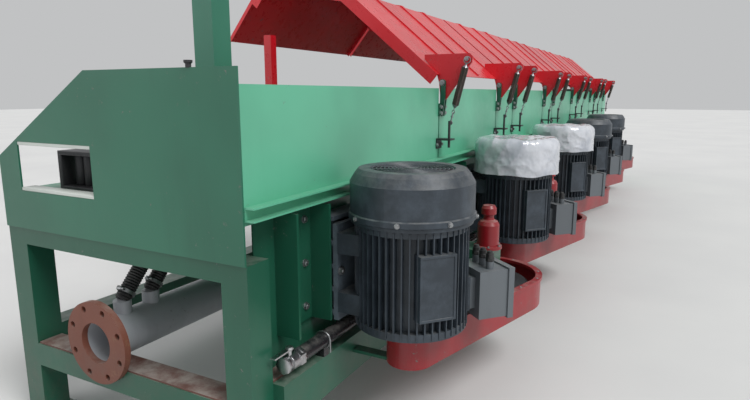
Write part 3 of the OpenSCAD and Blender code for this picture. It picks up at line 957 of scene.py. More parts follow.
@dataclass
class Fasteners:
    """Collects the bolts and screws of the machine and makes them as joined meshes.

    The sizes of their heads are factors on the thread size.
    """

    washer: float = 1.1
    washer_t: float = 0.16
    head: float = 0.95
    head_t: float = 0.62
    chamfer: float = 0.12
    chamfer_rise: float = 0.07
    shank: float = 0.48
    shank_end: float = 0.42
    shank_t: float = 0.22
    shank_z: float = 0.92
    button: float = 0.9
    button_t: float = 0.22
    button_top: float = 0.66
    socket_rim: float = 0.22
    socket: float = 0.16

    groups: dict[tuple[str, float, Head], list[Matrix]] = field(default_factory=dict)

    def add(self, size: float, point: Point | Vector, axis: Point | Vector = UP, spin: float = 0.0,
            head: Head = Head.HEX, body: str = "frame") -> None:
        """Notes one bolt.

        Args:
            size: Its thread size in metres.
            point: The middle of its seat.
            axis: The way that its head stands out.
            spin: The turn of its head.
            head: Its head.
            body: The body that it rides on.
        """
        self.groups.setdefault((body, size, head), []).append(facing(point, axis, spin))

    @classmethod
    def hex_head(cls, size: float) -> Piece:
        """Makes a hexagon head with a chamfered top on its washer.

        Args:
            size: The thread size.

        Returns:
            The head, with its seat at the origin.
        """
        washer_t, head_t, shank_t = size * cls.washer_t, size * cls.head_t, size * cls.shank_t
        washer = Bench.cylinder("washer", size * cls.washer, washer_t, (0, 0, washer_t / 2), sides=16)
        head = Bench.cylinder("head", size * cls.head, head_t, (0, 0, washer_t + head_t / 2), sides=6)
        Bench.dish(head, Way.UP, size * cls.chamfer, (0, 0, size * cls.chamfer_rise))
        shank = Bench.cylinder("shank", size * cls.shank, shank_t, (0, 0, size * cls.shank_z), sides=12,
                               top=size * cls.shank_end)
        return Bench.join("hex", [washer, head, shank])

    @classmethod
    def round_head(cls, size: float) -> Piece:
        """Makes a button head with a socket.

        Args:
            size: The thread size.

        Returns:
            The head, with its seat at the origin.
        """
        half = size * cls.button_t
        head = Bench.cylinder("button", size * cls.button, half, (0, 0, half / 2), sides=14)
        with Bench.editing(head):
            Bench.pick(head, Way.UP)
            Bench.extrude((0, 0, half), (cls.button_top, cls.button_top, 1))
            bpy.ops.mesh.inset(thickness=size * cls.socket_rim)
            bpy.ops.transform.translate(value=(0, 0, -size * cls.socket))
        return head

    def build(self) -> None:
        """Makes one joined piece for each body, size and kind."""
        for (body, size, head), places in self.groups.items():
            master = self.hex_head(size) if head is Head.HEX else self.round_head(size)
            piece = Bench.repeat(f"{head.value}_bolts_{size * 1000:.0f}_{body}", master, places)
            Paints.dress(piece, Finish.BOLT, "hook_steel", body, smooth=0.5)


class FrameDresser:
    """Gives every node of the frame its finish, by its slot in the record."""

    def dress(self) -> None:
        """Puts each slot's finish on its nodes."""
        by_slot = {finish.value.name: finish for finish in Finish}
        for entry in frame["record"]["subparts"]:
            piece = frame["nodes"][entry["node"]]
            Paints.put(piece, by_slot[entry["material_slot"]])
            LOG.info("dressed %s as %s", entry["node"], entry["material_slot"])


@dataclass
class CounterSprings:
    """The close-wound springs that balance the hoods, with their eyes and hooks."""

    coil_radius: float = 0.015
    wire: float = 0.002
    pitch: float = 0.00415
    coil_from: float = 0.084
    coil_to: float = 0.262
    pin_distance: float = 0.2993
    eye_drop: float = 0.005
    eye_radius: float = 0.0085
    eye_wire: float = 0.0026
    bolt_radius: float = 0.0034
    bolt_z: float = 0.0235
    nut_z: float = 0.0285
    link_radius: float = 0.0065
    link_wire: float = 0.0022
    link_z: tuple[float, float] = (0.0425, 0.0525)
    stem_radius: float = 0.0026
    stem_z: float = 0.0655
    hook_radius: float = 0.01475
    hook_wire: float = 0.0027
    hook_stem: float = 0.05
    hook_stem_radius: float = 0.0030
    bolt_len: float = 0.026
    nut_radius: float = 0.0072
    nut_t: float = 0.006
    stem_len: float = 0.014
    low_cone: float = 0.0050
    low_cone_len: float = 0.014
    low_cone_in: float = 0.005
    high_cone: float = 0.0052
    high_cone_len: float = 0.012
    high_cone_out: float = 0.004
    neck_radius: float = 0.0036
    neck_wire: float = 0.0020
    neck_down: float = 0.004
    side: float = 0.017

    def coil(self) -> Piece:
        """Makes one close-wound coil as a screwed round wire with closed ends.

        Returns:
            The coil, upright over its lower pin.
        """
        Bench.deselect()
        bpy.ops.mesh.primitive_circle_add(vertices=6, radius=self.wire, rotation=(math.pi / 2, 0, 0),
                                          location=(self.coil_radius, 0, self.coil_from + self.wire))
        coil = bpy.context.object
        Bench.seat(coil)
        turns = round((self.coil_to - self.coil_from) / self.pitch) - 1
        Bench.modify(coil, "SCREW", axis="Z", angle=2 * math.pi, screw_offset=self.pitch, iterations=turns,
                     steps=12, render_steps=12, use_merge_vertices=False)
        with Bench.editing(coil):
            bpy.ops.mesh.select_all(action="SELECT")
            bpy.ops.mesh.remove_doubles(threshold=0.00002)
            bpy.ops.mesh.fill_holes(sides=0)
            bpy.ops.mesh.normals_make_consistent(inside=False)
        return coil

    def lower_end(self) -> Piece:
        """Makes the lower eye, its eyebolt, the two linked rings and the coil's closing cone.

        Returns:
            The joined pieces.
        """
        eye = Bench.ring("eye", self.eye_radius, self.eye_wire, axis=Axis.X, around=24)
        bolt = Bench.cylinder("bolt", self.bolt_radius, self.bolt_len, (0, 0, self.bolt_z), sides=12)
        nut = Bench.cylinder("nut", self.nut_radius, self.nut_t, (0, 0, self.nut_z), sides=6)
        Bench.soften(nut, width=0.0006)
        links = [Bench.ring("link", self.link_radius, self.link_wire, (0, 0, z), axis=axis, around=20)
                 for z, axis in zip(self.link_z, (Axis.Y, Axis.X))]
        stem = Bench.cylinder("stem", self.stem_radius, self.stem_len, (0, 0, self.stem_z), sides=10)
        middle = (0, 0, self.coil_from - self.low_cone_in)
        cone = Bench.cylinder("cone", self.low_cone, self.low_cone_len, middle, sides=20,
                              top=self.coil_radius)
        Bench.dish(cone, Way.UP_AND_DOWN, rim=0.0012, size=(0.9, 0.9, 1))
        return Bench.join("lower_end", [eye, bolt, nut, *links, stem, cone])

    def upper_end(self) -> Piece:
        """Makes the hook that goes round the hood's pin, with its stem.

        Returns:
            The hook.
        """
        middle = self.pin_distance - self.eye_drop
        foot = middle - self.hook_radius
        hook = Bench.ring("hook", self.hook_radius, self.hook_wire, (0, 0, middle), axis=Axis.X, around=28)
        below = foot - self.hook_stem / 2 - 0.001
        stem = Bench.cylinder("stem", self.hook_stem_radius, self.hook_stem, (0, 0, below), sides=12)
        neck = Bench.ring("neck", self.neck_radius, self.neck_wire, (0, 0, foot - self.neck_down), around=16)
        return Bench.join("upper_end", [hook, stem, neck])

    def top_cone(self) -> Piece:
        """Makes the cone that closes the coil's upper end.

        Returns:
            The cone.
        """
        middle = (0, 0, self.coil_to + self.high_cone_out)
        cone = Bench.cylinder("top_cone", self.coil_radius, self.high_cone_len, middle, sides=20,
                              top=self.high_cone)
        Bench.dish(cone, Way.UP_AND_DOWN, rim=0.001)
        return cone

    def places(self, index: int) -> list[Matrix]:
        """Returns where the two springs of a hood stand.

        Args:
            index: The number of the hood.

        Returns:
            One place at each lower pin, with Z along the spring.
        """
        low = Vector(joint(f"spring_{index}_swing")["pos_m"])
        along = joint(f"spring_{index}_stretch")["axis"]
        lean = Matrix.Rotation(-math.atan2(along[1], along[2]), 4, "X")
        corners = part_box(f"spring_coils_{index}")
        return [Matrix.Translation((x, low.y, low.z)) @ lean
                for x in (corners[1].x - self.side, corners[0].x + self.side)]

    def build(self) -> None:
        """Makes the springs of every hood on their own bodies."""
        for index in range(1, Row.count + 1):
            places = self.places(index)
            lower, upper = f"spring_coils_{index}", f"spring_hooks_{index}"
            coils = Bench.repeat(f"coil_springs_{index}", self.coil(), places)
            Paints.dress(coils, Finish.SPRING, "spring_black", lower, smooth=1.2)
            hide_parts(lower)
            ends = Bench.join("ends", [self.lower_end(), self.top_cone()])
            ends = Bench.repeat(f"spring_ends_{index}", ends, places)
            Paints.dress(ends, Finish.HOOK, "hook_steel", lower, smooth=0.7)
            hooks = Bench.repeat(f"wire_hooks_{index}", self.upper_end(), places)
            Paints.dress(hooks, Finish.HOOK, "hook_steel", upper, smooth=0.7)
            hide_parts(upper)


@dataclass
class CowlTops:
    """The guarded air inlets on top of the fan cowls."""

    well: float = 0.134
    wire: float = 0.0017
    rings: int = 9
    spokes: int = 12
    hub: float = 0.020
    ring_in: float = 0.006
    ring_out: float = 0.002
    spoke_wire: float = 0.00204
    hub_t: float = 0.004
    hub_rim: float = 0.004
    hub_sink: float = 0.0015
    drop: float = 0.0035
    well_t: float = 0.0012
    well_rise: float = 0.0008
    well_drop: float = 0.0072

    def grille(self) -> Piece:
        """Makes one grille of rings and spokes with its hub, about the origin.

        Returns:
            The grille.
        """
        inner, outer = self.hub + self.ring_in, self.well - self.ring_out
        radii = [inner + (outer - inner) * k / (self.rings - 1) for k in range(self.rings)]
        pieces = [Bench.ring("ring", radius, self.wire, around=44, sides=6) for radius in radii]
        middle = ((self.well + self.hub) / 2, 0, -self.wire)
        spoke = Bench.cylinder("spoke", self.spoke_wire, self.well - self.hub, middle, axis=Axis.X, sides=8)
        turns = [Matrix.Rotation(2 * math.pi * k / self.spokes, 4, "Z") for k in range(self.spokes)]
        pieces.append(Bench.repeat("spokes", spoke, turns))
        hub = Bench.cylinder("hub", self.hub, self.hub_t, sides=32)
        Bench.dish(hub, Way.UP, self.hub_rim, (0, 0, -self.hub_sink))
        pieces.append(hub)
        return Bench.join("grille", pieces)

    def floor(self) -> Piece:
        """Makes the near-black disc under a grille, with a slightly raised middle: painted shade for the
        inside of the inlet.

        Returns:
            The well.
        """
        disc = Bench.cylinder("well", self.well, self.well_t, sides=48)
        Bench.dish(disc, Way.UP, self.well * 0.5, (0, 0, self.well_rise))
        return disc

    def build(self) -> None:
        """Makes the grille of every cowl and the near-black disc under it, which is painted shade."""
        tops = [Matrix.Translation((x, Row.motor_y, Row.cowls[1].z)) for x in Row.motors]
        sink = Matrix.Translation((0, 0, -self.drop))
        grilles = Bench.repeat("cowl_grilles", self.grille(), [top @ sink for top in tops])
        wells = Bench.repeat("cowl_inlet_shades", self.floor(),
                             [top @ Matrix.Translation((0, 0, -self.well_drop)) for top in tops])
        Paints.dress(grilles, Finish.MOTOR, "motor_paint", smooth=0.8)
        Paints.dress(wells, Finish.INLET_SHADE, "motor_paint")


@dataclass
class MotorTrim:
    """The framed pads on the motors and the screws of the cowls."""

    pad_turn: float = 49.0
    pad_face: float = 0.1945
    pad_z: tuple[float, float] = (0.510, 0.720)
    pad_half: float = 0.062
    rim: float = 0.008
    rise: float = 0.004
    sunk: float = 0.0034
    seam_z: float = 0.815
    screw: float = 0.008
    screw_in: float = 0.0003
    screw_spin: float = 0.3
    screws: int = 8
    first_screw: float = 12.0

    def pad(self) -> Piece:
        """Makes a raised rim with a sunk middle, on the pad's face about the motor axis.

        Returns:
            The framed pad.
        """
        face = Bench.block("pad", (self.pad_face - 0.001, -self.pad_half, self.pad_z[0]),
                           (self.pad_face + self.rise, self.pad_half, self.pad_z[1]))
        with Bench.editing(face):
            Bench.pick(face, Way.OUT)
            bpy.ops.mesh.inset(thickness=self.rim)
            Bench.extrude((-self.sunk, 0, 0))
        Bench.soften(face, width=0.0012)
        return face

    def build(self, fasteners: Fasteners) -> None:
        """Makes the pads and notes the cowls' screws.

        Args:
            fasteners: Where the screws are noted.
        """
        pads = Bench.repeat("motor_pads", self.pad(), Row.at_motors(self.pad_turn))
        Paints.dress(pads, Finish.MOTOR, "motor_paint")
        bare = [x for index, x in enumerate(Row.motors) if index not in Row.wrapped]
        for x in bare:
            for k in range(self.screws):
                angle = math.radians(self.first_screw + 360 * k / self.screws)
                out = Vector((math.cos(angle), math.sin(angle), 0))
                centre = Vector((x, Row.motor_y, self.seam_z)) + out * (Row.cowl_radius - self.screw_in)
                fasteners.add(self.screw, centre, out, self.screw_spin * k)


@dataclass
class TerminalTrim:
    """Covers, screws and cable glands of the terminal boxes."""

    turn: float = 138.0
    face: float = 0.350
    half: tuple[float, float] = (0.086, 0.090)
    middle_z: float = 0.524
    gland_at: float = 0.274
    gland_z: float = 0.634
    gland_step: float = 0.046
    gland_radius: float = 0.0150
    gland_foot: float = 0.012
    cap_radius: float = 0.0135
    cap_height: float = 0.016
    cap_end: float = 0.008
    collar_radius: float = 0.0132
    collar_wire: float = 0.0016
    collar_z: float = 0.014
    panel_in: float = 0.012
    panel_seat: float = 0.001
    panel_t: float = 0.003
    panel_rim: float = 0.018
    panel_rise: float = 0.007
    screw: float = 0.006
    screw_in: tuple[float, float] = (0.008, 0.009)

    def cover(self) -> Piece:
        """Makes the raised panel on a box's cover, about the motor axis.

        Returns:
            The panel.
        """
        wide, tall = (half - self.panel_in for half in self.half)
        panel = Bench.block("panel", (self.face - self.panel_seat, -wide, self.middle_z - tall),
                            (self.face + self.panel_t, wide, self.middle_z + tall))
        Bench.dish(panel, Way.OUT, self.panel_rim, (self.panel_rise, 0, 0))
        Bench.soften(panel, width=0.002)
        return panel

    def gland(self) -> Piece:
        """Makes a cable gland with its nut and collar, its foot at the origin.

        Returns:
            The gland.
        """
        foot = self.gland_foot
        body = Bench.cylinder("gland", self.gland_radius, foot, (0, 0, foot / 2), sides=6)
        Bench.soften(body, width=0.0012)
        middle = (0, 0, foot + self.cap_height / 2)
        cap = Bench.cylinder("cap", self.cap_radius, self.cap_height, middle, sides=20)
        with Bench.editing(cap):
            Bench.pick(cap, Way.UP)
            bpy.ops.mesh.inset(thickness=0.003)
            Bench.extrude((0, 0, self.cap_end), (0.8, 0.8, 1))
        middle = (0, 0, self.collar_z)
        collar = Bench.ring("collar", self.collar_radius, self.collar_wire, middle, around=20, sides=6)
        return Bench.join("gland", [body, cap, collar])

    def build(self, fasteners: Fasteners) -> None:
        """Makes the covers and glands and notes the cover screws.

        Args:
            fasteners: Where the screws are noted.
        """
        places = Row.at_motors(self.turn)
        covers = Bench.repeat("box_covers", self.cover(), places)
        glands = Bench.repeat("cable_glands", self.gland(), [
            place @ Matrix.Translation((self.gland_at, s * self.gland_step, self.gland_z - 0.0005))
            for place in places for s in (-1, 0, 1)])
        Paints.dress(covers, Finish.BOX, "box_grey")
        Paints.dress(glands, Finish.HOSE, "hose_rubber", smooth=0.5)
        for place in places:
            out = place.to_3x3() @ Vector((1, 0, 0))
            wide, tall = (half - inset for half, inset in zip(self.half, self.screw_in))
            for y in (-wide, wide):
                for rise in (-tall, tall):
                    corner = Vector((self.face - 0.0004, y, self.middle_z + rise))
                    fasteners.add(self.screw, place @ corner, out, head=Head.ROUND)


class Fold(Enum):
    """The textures that crumple the film."""

    SOFT = "CLOUDS"
    SHARP = "MUSGRAVE"


@dataclass
class CowlFilms:
    """The crumpled plastic film that still wraps two of the fan cowls."""

    swell: float = 0.0035
    foot_z: float = 0.783
    eaves_drop: float = 0.045
    crown: float = 0.030
    crown_rise: float = 0.050
    lid_lift: float = 0.0055
    wall_steps: int = 26
    crown_steps: int = 7
    lid_steps: int = 22
    steps: int = 256
    hem: float = 0.024
    hem_reach: float = 0.10
    hem_waves: float = 9.0
    folds: tuple[tuple[Fold, float, float], ...] = ((Fold.SOFT, 0.12, 0.016), (Fold.SHARP, 0.085, 0.0065),
                                                    (Fold.SHARP, 0.034, 0.0018))
    fold_octaves: float = 1.4
    fold_middle: float = 0.3

    def outline(self) -> list[tuple[float, float]]:
        """Draws the wrap's profile, from its foot to the middle of its top.

        Returns:
            The profile's points, as radius and height.
        """
        r = Row.cowl_radius + self.swell
        top = Row.cowls[1].z
        eaves = top - self.eaves_drop
        wall = [(r, self.foot_z + (eaves - self.foot_z) * k / self.wall_steps)
                for k in range(self.wall_steps + 1)]
        turns = [math.pi / 2 * k / self.crown_steps for k in range(1, self.crown_steps + 1)]
        crown = [(r - self.crown * (1 - math.cos(a)), eaves + self.crown_rise * math.sin(a)) for a in turns]
        lid = [((r - self.crown) * (1 - k / self.lid_steps), top + self.lid_lift)
               for k in range(1, self.lid_steps + 1)]
        return wall + crown + lid

    def wrap(self, index: int) -> Piece:
        """Makes one film: its profile spun round the motor axis and then crumpled.

        Args:
            index: The number of the motor, from 0.

        Returns:
            The film.
        """
        Bench.deselect()
        x = Row.motors[index]
        points = self.outline()
        bpy.ops.mesh.primitive_circle_add(vertices=3, radius=0.001, location=(0, 0, 0))
        film = bpy.context.object
        film.name = f"cowl_film_{index + 1}"
        with Bench.editing(film):
            bpy.ops.mesh.select_all(action="SELECT")
            bpy.ops.mesh.delete(type="VERT")
            mesh = bmesh.from_edit_mesh(film.data)
            line = [mesh.verts.new((radius, 0, z)) for radius, z in points]
            for first, second in zip(line, line[1:]):
                mesh.edges.new((first, second))
            bmesh.update_edit_mesh(film.data)
            bpy.ops.mesh.select_all(action="SELECT")
            bpy.ops.mesh.spin(steps=self.steps, angle=2 * math.pi, center=(0, 0, 0), axis=(0, 0, 1))
            bpy.ops.mesh.select_all(action="SELECT")
            bpy.ops.mesh.remove_doubles(threshold=0.00005)
            bpy.ops.mesh.normals_make_consistent(inside=False)
        film.matrix_world = Matrix.Translation((x, Row.motor_y, 0))
        Bench.seat(film)
        for kind, size, depth in self.folds:
            texture = bpy.data.textures.new("fold", kind.value)
            texture.noise_scale = size
            if kind is Fold.SHARP:
                texture.musgrave_type = Noise.CREASES.value
                texture.octaves = self.fold_octaves
            Bench.modify(film, "DISPLACE", texture=texture, texture_coords="GLOBAL", strength=depth,
                         mid_level=self.fold_middle)
            bpy.data.textures.remove(texture)
        for vertex in film.data.vertices:
            near = max(0.0, 1 - (vertex.co.z - self.foot_z) / self.hem_reach)
            lift = 0.5 + 0.5 * noise.noise(Vector((vertex.co.x, vertex.co.y, 0.0)) * self.hem_waves)
            vertex.co.z += self.hem * near * min(1.0, max(0.0, lift))
        return film

    def build(self) -> None:
        """Makes the films in place of their plain solids."""
        for index in Row.wrapped:
            film = self.wrap(index)
            Paints.dress(film, Finish.FILM, "film", smooth=0.45)
            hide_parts("cowl_films")


@dataclass
class Hoses:
    """The ribbed hoses between the water return pipe and the deck, with their clamps."""

    radius: float = 0.028
    rib: float = 0.0042
    pitch: float = 0.0095
    foot_z: float = 0.500
    deck_z: float = 0.848
    line_y: float = -0.640
    leaning: tuple[float, float] = (0.096, 0.216)
    lean: float = 42.0
    ahead: float = 0.420
    rib_from: float = 0.008
    rib_end: float = 0.012
    core_in: float = 0.0004
    path_steps: int = 16
    clamp_up: float = 0.016
    clamp_up_leaning: float = 0.030
    band_over: float = 0.0035
    band_width: float = 0.012
    band_t: float = 0.0012
    house_out: tuple[float, float] = (0.001, 0.011)
    house_half: tuple[float, float] = (0.011, 0.007)
    screw_radius: float = 0.0045
    screw_len: float = 0.010
    screw_at: tuple[float, float] = (0.006, 0.0155)

    def hose(self, name: str, foot: Vector, tilt: float) -> Piece:
        """Args:
            name: Its name.
            foot: The middle of its foot.
            tilt: Its lean away along the row, in degrees.

        Returns:
            The hose.
        """
        turn = Matrix.Rotation(-math.radians(tilt), 4, "Y")
        length = (self.deck_z - self.foot_z) / math.cos(math.radians(tilt))
        lifts = [self.rib_from + self.pitch * k for k in range(int((length - self.rib_end) / self.pitch))]
        inner = self.radius - self.rib
        rings = Bench.repeat("ribs", Bench.ring("rib", inner, self.rib, around=32, sides=6),
                             [Matrix.Translation((0, 0, z)) for z in lifts])
        core = Bench.cylinder("core", inner - self.core_in, length, (0, 0, length / 2), sides=32)
        Bench.dish(core, Way.UP_AND_DOWN, rim=0.004)
        tube = Bench.join(name, [core, rings])
        tube.matrix_world = Matrix.Translation(foot) @ turn
        Bench.seat(tube)
        Paints.dress(tube, Finish.HOSE, "hose_rubber", smooth=1.0)
        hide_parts("stub_hoses")
        return tube

    def clamp(self) -> Piece:
        """Makes a band clamp with its screw housing, about the origin.

        Returns:
            The clamp.
        """
        band = Bench.cylinder("band", self.radius + self.band_over, self.band_width, sides=40)
        with Bench.editing(band):
            Bench.pick(band, Way.UP_AND_DOWN)
            bpy.ops.mesh.inset(thickness=self.band_over)
            bpy.ops.mesh.delete(type="FACE")
        Bench.modify(band, "SOLIDIFY", thickness=self.band_t, offset=-1.0)
        inner, outer = (self.radius + out for out in self.house_out)
        y, z = self.house_half
        house = Bench.block("house", (inner, -y, -z), (outer, y, z))
        Bench.soften(house, width=0.002)
        out, side = self.screw_at
        middle = (self.radius + out, side, 0)
        screw = Bench.cylinder("screw", self.screw_radius, self.screw_len, middle, axis=Axis.Y, sides=8)
        return Bench.join("clamp", [band, house, screw])

    def build(self) -> None:
        """Makes every hose and the clamps at their feet."""
        clamps = []
        rises = [(Row.near_x - u, self.lean) for u in self.leaning]
        rises += [(hinge.x + self.ahead, 0.0) for hinge in Row.hinges]
        for number, (x, tilt) in enumerate(rises, start=1):
            foot = Vector((x, self.line_y, self.foot_z))
            self.hose(f"return_hose_{number}", foot, tilt)
            turn = Matrix.Rotation(-math.radians(tilt), 4, "Y")
            up = self.clamp_up_leaning if tilt else self.clamp_up
            clamps.append(Matrix.Translation(foot) @ turn @ Matrix.Translation((0, 0, up)))
        piece = Bench.repeat("hose_clamps", self.clamp(), clamps)
        Paints.dress(piece, Finish.BOLT, "hook_steel", smooth=0.5)


@dataclass
class HoodTrim:
    """The handles of the hoods, set out on a closed hood about its hinge."""

    handle_x: float = 0.34
    handle_z: float = -0.46
    front_y: float = -1.140
    grip: float = 0.15
    stand: float = 0.038
    bar: float = 0.006
    seat_radius: float = 0.014
    seat_t: float = 0.004
    knuckle: float = 0.00612
    knuckle_t: float = 0.004

    def handle(self) -> Piece:
        """Makes a bow handle that stands out along -Y, with its seats.

        Returns:
            The handle.
        """
        grip = Bench.cylinder("grip", self.bar, self.grip, (0, -self.stand, 0), axis=Axis.X, sides=16)
        pieces = [grip]
        for x in (-self.grip / 2, self.grip / 2):
            pieces.append(Bench.cylinder("post", self.bar, self.stand, (x, -self.stand / 2, 0), Axis.Y, 16))
            knuckle = Bench.cylinder("knuckle", self.knuckle, self.knuckle_t, (x, -self.stand, 0), sides=16)
            Bench.soften(knuckle, width=0.001)
            pieces.append(knuckle)
            seat = Bench.cylinder("seat", self.seat_radius, self.seat_t, (x, -self.seat_t / 2, 0), Axis.Y, 20)
            Bench.dish(seat, Way.UP_AND_DOWN, rim=0.003, size=(0.85, 0.85, 1))
            pieces.append(seat)
        return Bench.join("handle", pieces)

    def build(self) -> None:
        """Makes two handles on each hood."""
        for index, hinge in enumerate(Row.hinges, start=1):
            closed = Matrix.Translation(hinge) @ Matrix.Rotation(-Row.open_angle, 4, "X")
            places = [closed @ Matrix.Translation((x, self.front_y, self.handle_z))
                      for x in (-self.handle_x, self.handle_x)]
            piece = Bench.repeat(f"hood_handles_{index}", self.handle(), places)
            Paints.dress(piece, Finish.DARK, "dark_steel", f"hood_{index}", smooth=0.6)


@dataclass
class DrumTrim:
    """The red flange band, wire turns, top cover and eye of each drum."""

    radius: float = 0.280
    flange: float = 0.305
    flange_z: tuple[float, float] = (0.932, 0.958)
    band_over: float = 0.0012
    band_lip: float = 0.004
    top_z: float = 1.115
    wire: float = 0.0022
    turns: int = 14
    cover_radius: float = 0.19
    cover_t: float = 0.010
    cover_bolts: int = 8
    cover_bolt: float = 0.010
    bolt_circle: float = 0.172
    cover_rim: float = 0.030
    cover_sink: float = 0.006
    hub_in: float = 0.085
    hub_rise: float = 0.022
    eye_radius: float = 0.014
    eye_wire: float = 0.0045
    eye_up: float = 0.046
    neck: tuple[float, float] = (0.008, 0.006)
    neck_height: float = 0.012
    neck_up: float = 0.030

    def band(self) -> Piece:
        """Makes the red band round a drum's lower flange, with a rounded lip.

        Returns:
            The band.
        """
        height = self.flange_z[1] - self.flange_z[0] + 0.001
        middle = (0, 0, self.flange_z[0] + height / 2)
        band = Bench.cylinder("band", self.flange + self.band_over, height, middle, sides=96)
        with Bench.editing(band):
            Bench.pick(band, Way.UP)
            bpy.ops.mesh.inset(thickness=self.flange - self.radius)
            bpy.ops.mesh.delete(type="FACE")
            Bench.pick(band, Way.DOWN)
            bpy.ops.mesh.inset(thickness=self.band_lip)
            bpy.ops.mesh.delete(type="FACE")
        Bench.soften(band, width=0.003)
        return band

    def windings(self) -> Piece:
        """Makes the turns of wire that lie on a drum.

        Returns:
            The joined turns.
        """
        turn = Bench.ring("turn", self.radius + self.wire, self.wire, around=96, sides=6)
        lifts = [self.flange_z[1] + self.wire * (1 + 2.05 * k) for k in range(self.turns)]
        return Bench.repeat("turns", turn, [Matrix.Translation((0, 0, z)) for z in lifts])

    def cover(self) -> Piece:
        """Makes the sunk cover on a drum's top, with its hub and eye.

        Returns:
            The cover.
        """
        middle = (0, 0, self.top_z + self.cover_t / 2)
        plate = Bench.cylinder("plate", self.cover_radius, self.cover_t, middle, sides=64)
        with Bench.editing(plate):
            Bench.pick(plate, Way.UP)
            bpy.ops.mesh.inset(thickness=self.cover_rim)
            bpy.ops.transform.translate(value=(0, 0, -self.cover_sink))
            bpy.ops.mesh.inset(thickness=self.hub_in)
            Bench.extrude((0, 0, self.hub_rise), (0.9, 0.9, 1))
        Bench.soften(plate, width=0.0015)
        eye = Bench.ring("eye", self.eye_radius, self.eye_wire, (0, 0, self.top_z + self.eye_up), Axis.Y, 28)
        foot, top = self.neck
        middle = (0, 0, self.top_z + self.neck_up)
        neck = Bench.cylinder("neck", foot, self.neck_height, middle, sides=16, top=top)
        return Bench.join("cover", [plate, eye, neck])

    def build(self, fasteners: Fasteners) -> None:
        """Makes the trim of every drum on its own body.

        Args:
            fasteners: Where the cover bolts are noted.
        """
        for index, hinge in enumerate(Row.hinges, start=1):
            place = [Matrix.Translation((hinge.x, Row.drum_y, 0))]
            for name, make, finish, slot in (("band", self.band, Finish.HOOD, "hood_red"),
                                             ("wire", self.windings, Finish.WIRE, "drum_chrome"),
                                             ("cover", self.cover, Finish.IRON, "pulley_iron")):
                piece = Bench.repeat(f"drum_{name}_{index}", make(), place)
                Paints.dress(piece, finish, slot, f"drum_{index}", smooth=0.5)
            for k in range(self.cover_bolts):
                angle = 2 * math.pi / self.cover_bolts * k
                top = self.top_z + self.cover_t - SINK
                point = round_about(hinge.x, Row.drum_y, self.bolt_circle, angle, top)
                fasteners.add(self.cover_bolt, point, spin=angle, body=f"drum_{index}")


@dataclass(frozen=True)
class Knob:
    """A turned knob: a round stem, a flared neck and a flat head."""

    stem: float
    stem_top: float
    height: float
    sides: int
    neck: float
    flare: float
    head: float
    crown: float = 0.0
    rim: float = 0.004

    def make(self, name: str, middle: Point) -> Piece:
        """Makes a knob.

        Args:
            name: Its name.
            middle: The middle of its stem.

        Returns:
            The knob.
        """
        knob = Bench.cylinder(name, self.stem, self.height, middle, sides=self.sides, top=self.stem_top)
        with Bench.editing(knob):
            Bench.pick(knob, Way.UP)
            Bench.extrude((0, 0, self.neck), (self.flare, self.flare, 1))
            Bench.extrude((0, 0, self.head))
            bpy.ops.mesh.inset(thickness=self.rim)
            bpy.ops.transform.translate(value=(0, 0, self.crown))
        Bench.seat(knob)
        return knob


